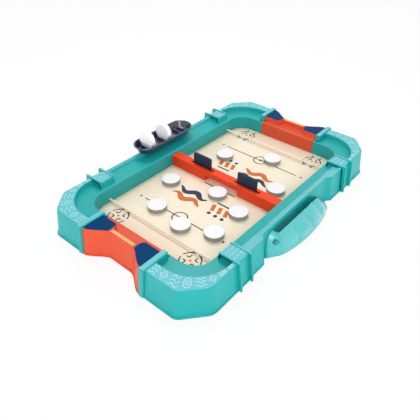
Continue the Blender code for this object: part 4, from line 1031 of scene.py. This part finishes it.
def build_pucks():
    """Every puck stands where its CAD node does."""
    for node, piece in frame["nodes"].items():
        if "puck" not in node or node == "puck_tray":
            continue
        low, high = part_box(node)
        size = high - low
        upright = size.z > size.x
        height = size.x if upright else size.z
        radius = max(size.y, size.z) / 2
        made = piece_from(node + "_disc", puck_mesh(radius, height), (low + high) / 2)
        if upright:
            made.rotation_euler.y = RIGHT_ANGLE
        # the pucks on the board take a painted shade on their sides; the stored ones keep a white side
        plastic = stored_puck_plastic if upright else puck_plastic
        dress(made, plastic, "white_plastic", piece["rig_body"], node)


def build_cords():
    """The two elastic cords."""
    reach = AREA_HALF_WIDTH + WALL + CORD_TAIL
    for end, side_x in ENDS.items():
        circle = oval(side_x * CORD_PLACE, CORD_HEIGHT, CORD_RADIUS, CORD_RADIUS, CORD_SIDES)
        loops = [[(x, y, z) for x, z in circle] for y in spaced(-reach, reach, CORD_STEPS)]
        node = end + "_elastic_cord"
        dress(lofted(node + "_braid", loops), elastic, "elastic_cream", "frame", node)


def build_shutters():
    """The two shutters, each a blade with round upper corners on a foot inside the divider."""
    for side in SIDES:
        node = side + "_side_shutter"
        low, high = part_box(node)
        middle_y = (low.y + high.y) / 2
        half_width = (high.y - low.y) / 2 - SHUTTER_FOOT_OVERLAP
        blade_foot = low.z + FIT_GAP
        outline = [(-half_width, blade_foot, 0), (-half_width, high.z, SHUTTER_CORNER),
                   (half_width, high.z, SHUTTER_CORNER), (half_width, blade_foot, 0)]
        loops = slab_loops(outline, -SHUTTER_THICKNESS / 2, SHUTTER_THICKNESS, lambda y, x, z: (x, y, z))
        bm = bmesh.new()
        add_loft(bm, loops)
        add_box(bm, (low.x, low.y - middle_y, low.z),
                (high.x, high.y - middle_y, low.z + SHUTTER_FOOT_HEIGHT), SHUTTER_EDGE)
        made = piece_from(node + "_blade", bm, Vector((0, middle_y, 0)))
        dress(made, shutter_plastic, "dark_navy_plastic", side + "_shutter", node)


# Printing on the board


def print_line(bm, path, width=LINE_WIDTH, closed=False):
    """A printed line along a path."""
    add_strip(bm, path, width, INK_LOW, INK_HIGH, closed)


def print_dot(bm, x, y, radius):
    """A printed dot."""
    circle = oval(x, y, radius, radius, DOT_SIDES)
    add_loft(bm, [[(*point, z) for point in circle] for z in (INK_LOW, INK_HIGH)])


def print_face_off(bm, x, y):
    """A face-off circle with ticks outside and four corner marks inside."""
    ring = FACE_OFF_RING
    for quarter in range(4):
        print_line(bm, oval(x, y, ring, ring, RING_STEPS, quarter / 4 + FACE_OFF_GAP, FACE_OFF_ARC))
    for side_x in (-ring, ring):
        for side_y in (-ring, ring):
            inner_x = x + side_x * MARK_PLACE[0]
            inner_y = y + side_y * MARK_PLACE[1]
            print_line(bm, [(inner_x, inner_y), (inner_x + side_x * MARK_REACH[0], inner_y)])
            print_line(bm, [(inner_x, inner_y), (inner_x, inner_y + side_y * MARK_REACH[1])])
            print_line(bm, [(x + side_x * share, y + side_y * TICK_Y) for share in TICK_X])


def print_markings(lines, reds):
    """The game's lines, circles and dots."""
    for side_x in (-1, 1):
        x = side_x * HALF_LINE_X
        print_line(lines, [(x, -HALF_LINE_REACH), (x, HALF_LINE_REACH)])
        print_line(lines, oval(x, 0, CENTRE_RING, CENTRE_RING, RING_STEPS), closed=True)
        print_dot(lines, x, 0, CENTRE_DOT)
        for side_y in (-1, 1):
            print_dot(lines, x, side_y * END_DOT_Y, LINE_WIDTH)
            print_face_off(lines, side_x * FACE_OFF_X, side_y * FACE_OFF_Y)
            print_dot(reds, side_x * FACE_OFF_X, side_y * FACE_OFF_Y, LINE_WIDTH)
        print_line(lines, [(side_x * GOAL_LINE_X, -GOAL_LINE_REACH), (side_x * GOAL_LINE_X, GOAL_LINE_REACH)])


def print_ornament(navy, orange_ink, teal, turn):
    """Two waves and a row of bars with dots on one half of the board."""
    for row, ink_bm in enumerate((navy, orange_ink)):
        wave = []
        for share in spaced(0, 1, WAVE_STEPS):
            swing = WAVE_RISE * math.sin(math.tau * (WAVE_TURNS * share + row * WAVE_LAG))
            x = WAVE_X + row * WAVE_PITCH + swing
            wave.append((turn * x, turn * (WAVE_START_Y - WAVE_REACH * share)))
        print_line(ink_bm, wave, lambda share: WAVE_THIN + WAVE_THICK * math.sin(math.pi * share))
    for index in range(BARS):
        y = turn * (BARS_Y + BARS_PITCH * index)
        tip_x = turn * (BARS_X + BARS_REACH)
        tip_y = y + turn * BARS_SLANT
        print_line(orange_ink, [(turn * BARS_X, y), (tip_x, tip_y)], BAR_WIDTH)
        print_dot(navy, tip_x + turn * BAR_WIDTH, tip_y, BAR_WIDTH / 2)
    stem_x = turn * (BARS_X - BAR_WIDTH)
    stem_end = turn * (BARS_Y + BARS_PITCH * (BARS - 1))
    print_line(teal, [(stem_x, turn * BARS_Y), (stem_x, stem_end)], BAR_WIDTH / 2)


def build_printing():
    """The printing on the sheet, one piece for each ink."""
    prints = {name: bmesh.new() for name in INKS}
    print_markings(prints["board_lines"], prints["board_red_dots"])
    for turn in (-1, 1):
        print_ornament(prints["ornament_navy"], prints["ornament_orange"], prints["ornament_teal"], turn)
    for name, bm in prints.items():
        dress(piece_from(name, bm), ink(*INKS[name]), "printed_paper", "frame")


# Materials


def linear(colour):
    """A display colour as linear light."""
    return [(channel / DISPLAY_FULL) ** DISPLAY_GAMMA for channel in colour]


def tinted(colour, share):
    """A colour made lighter or darker by a share."""
    return tuple(min(DISPLAY_FULL, max(0, channel * (1 + share))) for channel in colour)


class Tree:
    """The nodes of a material or a world, with a few helpers."""

    def __init__(self, owner):
        owner.use_nodes = True
        self.owner = owner
        self.nodes = owner.node_tree.nodes
        self.place = self.node("ShaderNodeTexCoord")["Object"]

    def give(self, socket, value):
        """Set an input, or join it to an output."""
        if isinstance(value, bpy.types.NodeSocket):
            self.owner.node_tree.links.new(value, socket)
        else:
            socket.default_value = value

    def node(self, kind, inputs=(), **settings):
        """The outputs of a new node with the given inputs and settings."""
        made = self.nodes.new(kind)
        for key, value in settings.items():
            setattr(made, key, value)
        for key, value in dict(inputs).items():
            self.give(made.inputs[key], value)
        return made.outputs

    def maths(self, operation, *values):
        """A maths operation on values or outputs."""
        return self.node("ShaderNodeMath", enumerate(values), operation=operation)[0]

    def axes(self, vector=None):
        """The X, Y and Z of a vector, or else of the place on the piece."""
        return self.node("ShaderNodeSeparateXYZ", {"Vector": self.place if vector is None else vector})

    def noise(self, scale, detail=2.0, roughness=0.5, stretch=None):
        """Noise on the piece's own coordinates."""
        place = self.place
        if stretch:
            place = self.node("ShaderNodeMapping", {"Vector": place, "Scale": stretch})["Vector"]
        inputs = {"Vector": place, "Scale": scale, "Detail": detail, "Roughness": roughness}
        return self.node("ShaderNodeTexNoise", inputs)["Fac"]

    def spread(self, value, low, high, start=NOISE_RANGE[0], end=NOISE_RANGE[1]):
        """A value's range changed from start and end to low and high."""
        inputs = {"Value": value, "From Min": start, "From Max": end, "To Min": low, "To Max": high}
        return self.node("ShaderNodeMapRange", inputs)["Result"]

    def mix(self, share, first, second):
        """A colour between two colours or outputs."""
        made = self.nodes.new("ShaderNodeMix")
        made.data_type = "RGBA"
        self.give(made.inputs["Factor"], share)
        colour_sockets = [socket for socket in made.inputs if socket.type == "RGBA"]
        for socket, value in zip(colour_sockets, (first, second)):
            self.give(socket, (*linear(value), 1.0) if isinstance(value, tuple) else value)
        return [socket for socket in made.outputs if socket.type == "RGBA"][0]

    def tones(self, share, colour, low, high):
        """A colour between two shades of one colour."""
        return self.mix(share, tinted(colour, low), tinted(colour, high))

    def finished(self, tone, roughness, height, depth, settings=()):
        """The material, its shader joined to its tone, roughness and relief."""
        normal = self.node("ShaderNodeBump", {"Height": height, "Distance": depth})["Normal"]
        inputs = {"Base Color": tone, "Roughness": roughness, "Normal": normal, **dict(settings)}
        for key, value in inputs.items():
            self.give(self.nodes["Principled BSDF"].inputs[key], value)
        return self.owner


def new_tree(name):
    """The tree of a new material."""
    return Tree(bpy.data.materials.new(name))


def painted_rim_sheen(tree, tone, colour):
    """A painted sheen: the tone turns paler on the rims' flat, upward-facing tops."""
    normal = tree.node("ShaderNodeNewGeometry")["Normal"]
    level = tree.spread(tree.axes(normal)["Z"], 0, 1, *LEVEL_RANGE)
    on_rim = tree.spread(tree.axes()["Z"], 0, 1, *SHEEN_HEIGHTS)
    return tree.mix(tree.maths("MULTIPLY", level, on_rim), tone, colour)


def textured(name, colour, tones, clouds, roughness, depth, smudges=None, grain=None, rims=None, settings=()):
    """A material with clouded tones, an uneven gloss and a fine relief.

    Clouds, smudges and grain are noises, as (scale, detail, roughness, stretch). Where smudges or grain
    are left out, the clouds serve for them too.
    """
    tree = new_tree(name)
    cloud = tree.noise(*clouds)
    tone = tree.tones(cloud, colour, *tones)
    # painted sheen on the rims' flat tops
    if rims:
        tone = painted_rim_sheen(tree, tone, rims)
    gloss = tree.spread(tree.noise(*smudges) if smudges else cloud, *roughness)
    return tree.finished(tone, gloss, tree.noise(*grain) if grain else cloud, depth, settings)


def moulded(name, colour, roughness, specular=0.3, rims=None, coat=0.0):
    """Moulded plastic with faint clouds, smudges and a fine grain; its rims' flat tops may take a painted
    sheen.
    """
    gloss = [roughness + change for change in SMUDGE]
    settings = {"Specular IOR Level": specular, "Coat Weight": coat}
    return textured(name, colour, tones=MOTTLE, clouds=(38, 3), roughness=gloss, depth=GRAIN_DEPTH,
                    smudges=(60, 4, 0.6), grain=(700, 2), rims=rims, settings=settings)


def film_material():
    """The grips' film: navy at both ends, fading through dots to orange, with salmon dots in its middle as a
    painted highlight.
    """
    tree = new_tree("film_print")
    axes = tree.axes()
    parts = []
    for axis in ("X", "Y"):
        turned = tree.maths("PINGPONG", tree.maths("DIVIDE", axes[axis], HALFTONE_CELL), HALF_CELL)
        parts.append(tree.maths("POWER", tree.maths("SUBTRACT", turned, HALF_CELL / 2), 2))
    away = tree.maths("SQRT", tree.maths("ADD", *parts))
    across = tree.maths("ABSOLUTE", axes["Y"])
    navy_size = tree.spread(across, 0.0, NAVY_DOT_FULL, HALFTONE_START, HALFTONE_END)
    # salmon dots that grow towards the middle: a painted highlight on the orange print
    highlight_dot_size = tree.spread(across, HIGHLIGHT_DOT_MIDDLE, HIGHLIGHT_DOT_END, 0.0, HALFTONE_END)
    warm = tree.mix(tree.maths("LESS_THAN", away, highlight_dot_size), FILM_ORANGE, SALMON_PAINTED_HIGHLIGHT)
    tone = tree.mix(tree.maths("LESS_THAN", away, navy_size), warm, NAVY)
    gloss = tree.spread(tree.noise(scale=90, detail=3), low=0.34, high=0.46)
    grain = tree.noise(scale=1400, detail=2)
    return tree.finished(tone, gloss, grain, GRAIN_DEPTH, {"Specular IOR Level": FILM_SPECULAR})


def sheet_material():
    """The printed sheet: pale wood print, with painted shade darkening it towards its edges."""
    tree = new_tree("sheet_print")
    axes = tree.axes()
    cloud = tree.noise(scale=36, detail=5, roughness=0.6, stretch=(1, 9, 1))
    vein = tree.noise(scale=160, detail=3, roughness=0.6, stretch=(1, 12, 1))
    from_middle = tree.maths("ABSOLUTE", tree.maths("SUBTRACT", axes["Y"], BOARD_Y))
    # painted shade: darker towards the sheet's edges, beside the walls
    shade_x = tree.spread(tree.maths("ABSOLUTE", axes["X"]), 0.0, 1.0, *SHEET_SHADE_X)
    shade_y = tree.spread(from_middle, 0.0, 1.0, *SHEET_SHADE_Y)
    edge = tree.maths("MULTIPLY", tree.maths("MAXIMUM", shade_x, shade_y), SHEET_SHADE_SHARE)
    pale = tree.tones(tree.spread(cloud, *SHEET_CLOUD), CREAM, *SHEET_CLOUD_TONES)
    veined = tree.mix(tree.spread(vein, *SHEET_VEIN), pale, TAN)
    gloss = tree.spread(tree.noise(scale=50, detail=3), low=0.38, high=0.5)
    return tree.finished(tree.mix(edge, veined, TAN), gloss, vein, SHEET_DEPTH)


def puck_material(name, side_colour_and_shade):
    """White pucks with a satin grain and a band round the side, which is painted shade on the pucks that lie
    on the board.
    """
    tree = new_tree(name)
    face = tree.spread(tree.maths("ABSOLUTE", tree.axes()["Z"]), 0.0, 1.0, *PUCK_FACE)
    cloud = tree.noise(scale=90, detail=3)
    # the side band's tone; on the pucks on the board it is painted shade
    side = tree.tones(cloud, side_colour_and_shade, low=0, high=-0.03)
    white = tree.tones(cloud, PUCK_WHITE, low=0, high=-0.02)
    gloss = tree.spread(tree.noise(scale=70, detail=3), low=0.34, high=0.46)
    return tree.finished(tree.mix(face, side, white), gloss, tree.noise(scale=1500, detail=2), PUCK_DEPTH)


def elastic_material():
    """Braided elastic: fine crossed ribs on the cord."""
    tree = new_tree("elastic_braid")
    waves = []
    for turn in (BRAID_TURN, -BRAID_TURN):
        turned = tree.node("ShaderNodeMapping", {"Vector": tree.place, "Rotation": (turn, 0, 0)})["Vector"]
        inputs = {"Vector": turned, "Scale": BRAID_SCALE}
        waves.append(tree.node("ShaderNodeTexWave", inputs, bands_direction="Y")["Fac"])
    weave = tree.maths("MAXIMUM", *waves)
    gloss = tree.spread(tree.noise(scale=200, detail=2), low=0.5, high=0.65)
    return tree.finished(tree.tones(weave, CORD_CREAM, low=-0.04, high=0), gloss, weave, BRAID_DEPTH)


def ink(name, colour):
    """Printing ink with slight unevenness."""
    return textured(name, colour, tones=(-0.06, 0.06), clouds=(300, 4), roughness=(0.36, 0.5),
                    depth=0.000005, smudges=(80, 3), grain=(1500, 2))


def fibre_board():
    """Pressed fibre board under the sheet."""
    return textured("fibre_board", BOARD_BROWN, tones=(-0.2, 0.12), clouds=(400, 6, 0.7, (1, 4, 1)),
                    roughness=(0.6, 0.8), depth=0.00005)


def rubber_material():
    """Soft matt rubber."""
    return textured("rubber", RUBBER_GREY, tones=(-0.15, 0.15), clouds=(220, 4), roughness=(0.7, 0.85),
                    depth=0.00004, grain=(1800, 3))


def steel_material():
    """Zinc-plated screws with a turned grain."""
    return textured("zinc_steel", STEEL, tones=(-0.12, 0.1), clouds=(500, 3), roughness=(0.28, 0.42),
                    depth=0.00002, grain=(1500, 2), settings={"Metallic": 1.0})


def dress_kept_nodes():
    """The CAD nodes that nothing replaces take better materials, by how their names end."""
    kept = {"base_panel": panel_plastic, "play_board": fibre, "printed_sheet": sheet, "divider": orange,
            "_screw": steel, "_foot": rubber, "_cord_stop": shutter_plastic}
    for name, node in frame["nodes"].items():
        for ending, material in kept.items():
            if name.endswith(ending):
                node.data.materials.clear()
                node.data.materials.append(material)


# Camera, floor and light


def build_camera():
    """The photograph's view."""
    back = Vector((math.sin(CAMERA_AZIMUTH) * math.cos(CAMERA_ELEVATION),
                   -math.cos(CAMERA_AZIMUTH) * math.cos(CAMERA_ELEVATION), math.sin(CAMERA_ELEVATION)))
    level = Vector((math.cos(CAMERA_AZIMUTH), math.sin(CAMERA_AZIMUTH), 0))
    upward = back.cross(level)
    right = level * math.cos(CAMERA_ROLL) + upward * math.sin(CAMERA_ROLL)
    up = upward * math.cos(CAMERA_ROLL) - level * math.sin(CAMERA_ROLL)
    target = Vector((CAMERA_TARGET_X, CAMERA_TARGET_Y + BOARD_Y, SHEET_TOP))
    data = bpy.data.cameras.new("camera")
    data.sensor_width = SENSOR_MILLIMETRES
    data.lens = FOCAL_PIXELS * SENSOR_MILLIMETRES / IMAGE_PIXELS
    camera = add_object("camera", data)
    turned = Matrix((right, up, back)).transposed().to_4x4()
    camera.matrix_world = Matrix.Translation(target + back * CAMERA_DISTANCE) @ turned
    bpy.context.scene.camera = camera


def area_light(name, place, size, power):
    """A soft round lamp aimed at the origin."""
    data = bpy.data.lights.new(name, "AREA")
    data.shape = "DISK"
    data.size = size
    data.energy = power
    lamp = add_object(name, data)
    lamp.location = place
    lamp.rotation_euler = (-Vector(place)).to_track_quat("-Z", "Y").to_euler()


def build_light():
    """Two soft lamps, a glow round the horizon, and a white surround for the camera and reflections."""
    area_light("overhead", LAMP_PLACE, LAMP_SIZE, LAMP_POWER)
    area_light("front_fill", FILL_PLACE, FILL_SIZE, FILL_POWER)
    world = bpy.data.worlds.new("surround")
    bpy.context.scene.world = world
    tree = Tree(world)
    rays = tree.node("ShaderNodeLightPath")
    reflected = tree.maths("MAXIMUM", rays["Is Glossy Ray"], rays["Is Transmission Ray"])
    seen = tree.maths("MAXIMUM", rays["Is Camera Ray"], reflected)
    direction = tree.axes(tree.node("ShaderNodeTexCoord")["Generated"])
    glow = tree.spread(direction["Z"], GLOW_STRENGTH, SKY_STRENGTH, 0.0, GLOW_RISE)
    strength = tree.node("ShaderNodeMix", {"Factor": seen, "A": glow, "B": 1.0})["Result"]
    background = tree.nodes["Background"]
    tree.give(background.inputs["Color"], (1, 1, 1, 1))
    tree.give(background.inputs["Strength"], strength)


def build_floor():
    """A plain pale floor that shows white round the object and keeps its soft shadow."""
    bm = bmesh.new()
    bmesh.ops.create_grid(bm, x_segments=1, y_segments=1, size=FLOOR_SIZE)
    mesh = bpy.data.meshes.new("floor")
    bm.to_mesh(mesh)
    bm.free()
    floor = add_object("floor", mesh)
    tree = new_tree("floor")
    seen = tree.maths("MULTIPLY", tree.node("ShaderNodeLightPath")["Is Camera Ray"], FLOOR_WHITE_SHARE)
    diffuse = tree.node("ShaderNodeBsdfDiffuse", {"Color": FLOOR_COLOUR})[0]
    white = tree.node("ShaderNodeEmission", {"Strength": 1.0})[0]
    mixed = tree.node("ShaderNodeMixShader", enumerate((seen, diffuse, white)))[0]
    tree.give(tree.nodes["Material Output"].inputs["Surface"], mixed)
    floor.data.materials.append(tree.owner)


# the rims' flat tops of this plastic take a paler painted sheen
turquoise = moulded("turquoise_plastic", TURQUOISE, roughness=0.3, rims=RIM_SHEEN_TURQUOISE)
glossy_turquoise = moulded("turquoise_gloss", GLOSS_TURQUOISE, roughness=0.16, specular=0.6, coat=1.0)
pale_orange = moulded("orange_pale_plastic", PALE_ORANGE, roughness=0.33)
frosted = moulded("turquoise_frosted", FROSTED_TURQUOISE, roughness=0.42)
relief = moulded("turquoise_relief", RELIEF_TURQUOISE, roughness=0.42)
orange = moulded("orange_plastic", ORANGE, roughness=0.33)
tray_plastic = moulded("tray_navy_plastic", DARK_NAVY, roughness=0.14, specular=0.6, coat=1.0)
shutter_plastic = moulded("shutter_navy_plastic", SHUTTER_NAVY, roughness=0.34)
panel_plastic = moulded("panel_grey_plastic", PANEL_GREY, roughness=0.5)
film_print = film_material()
sheet = sheet_material()
# painted shade on the sides of the pucks on the board
puck_plastic = puck_material("puck_white", PUCK_SIDE_PAINTED_SHADE)
stored_puck_plastic = puck_material("stored_puck_white", STORED_PUCK_SIDE)
elastic = elastic_material()
fibre = fibre_board()
rubber = rubber_material()
steel = steel_material()

build_camera()
build_light()
build_floor()
build_corners()
build_rails()
build_collars()
build_grips()
build_handle()
build_tray()
build_pucks()
build_cords()
build_shutters()
build_printing()
dress_kept_nodes()
bpy.context.scene.view_settings.view_transform = "Standard"
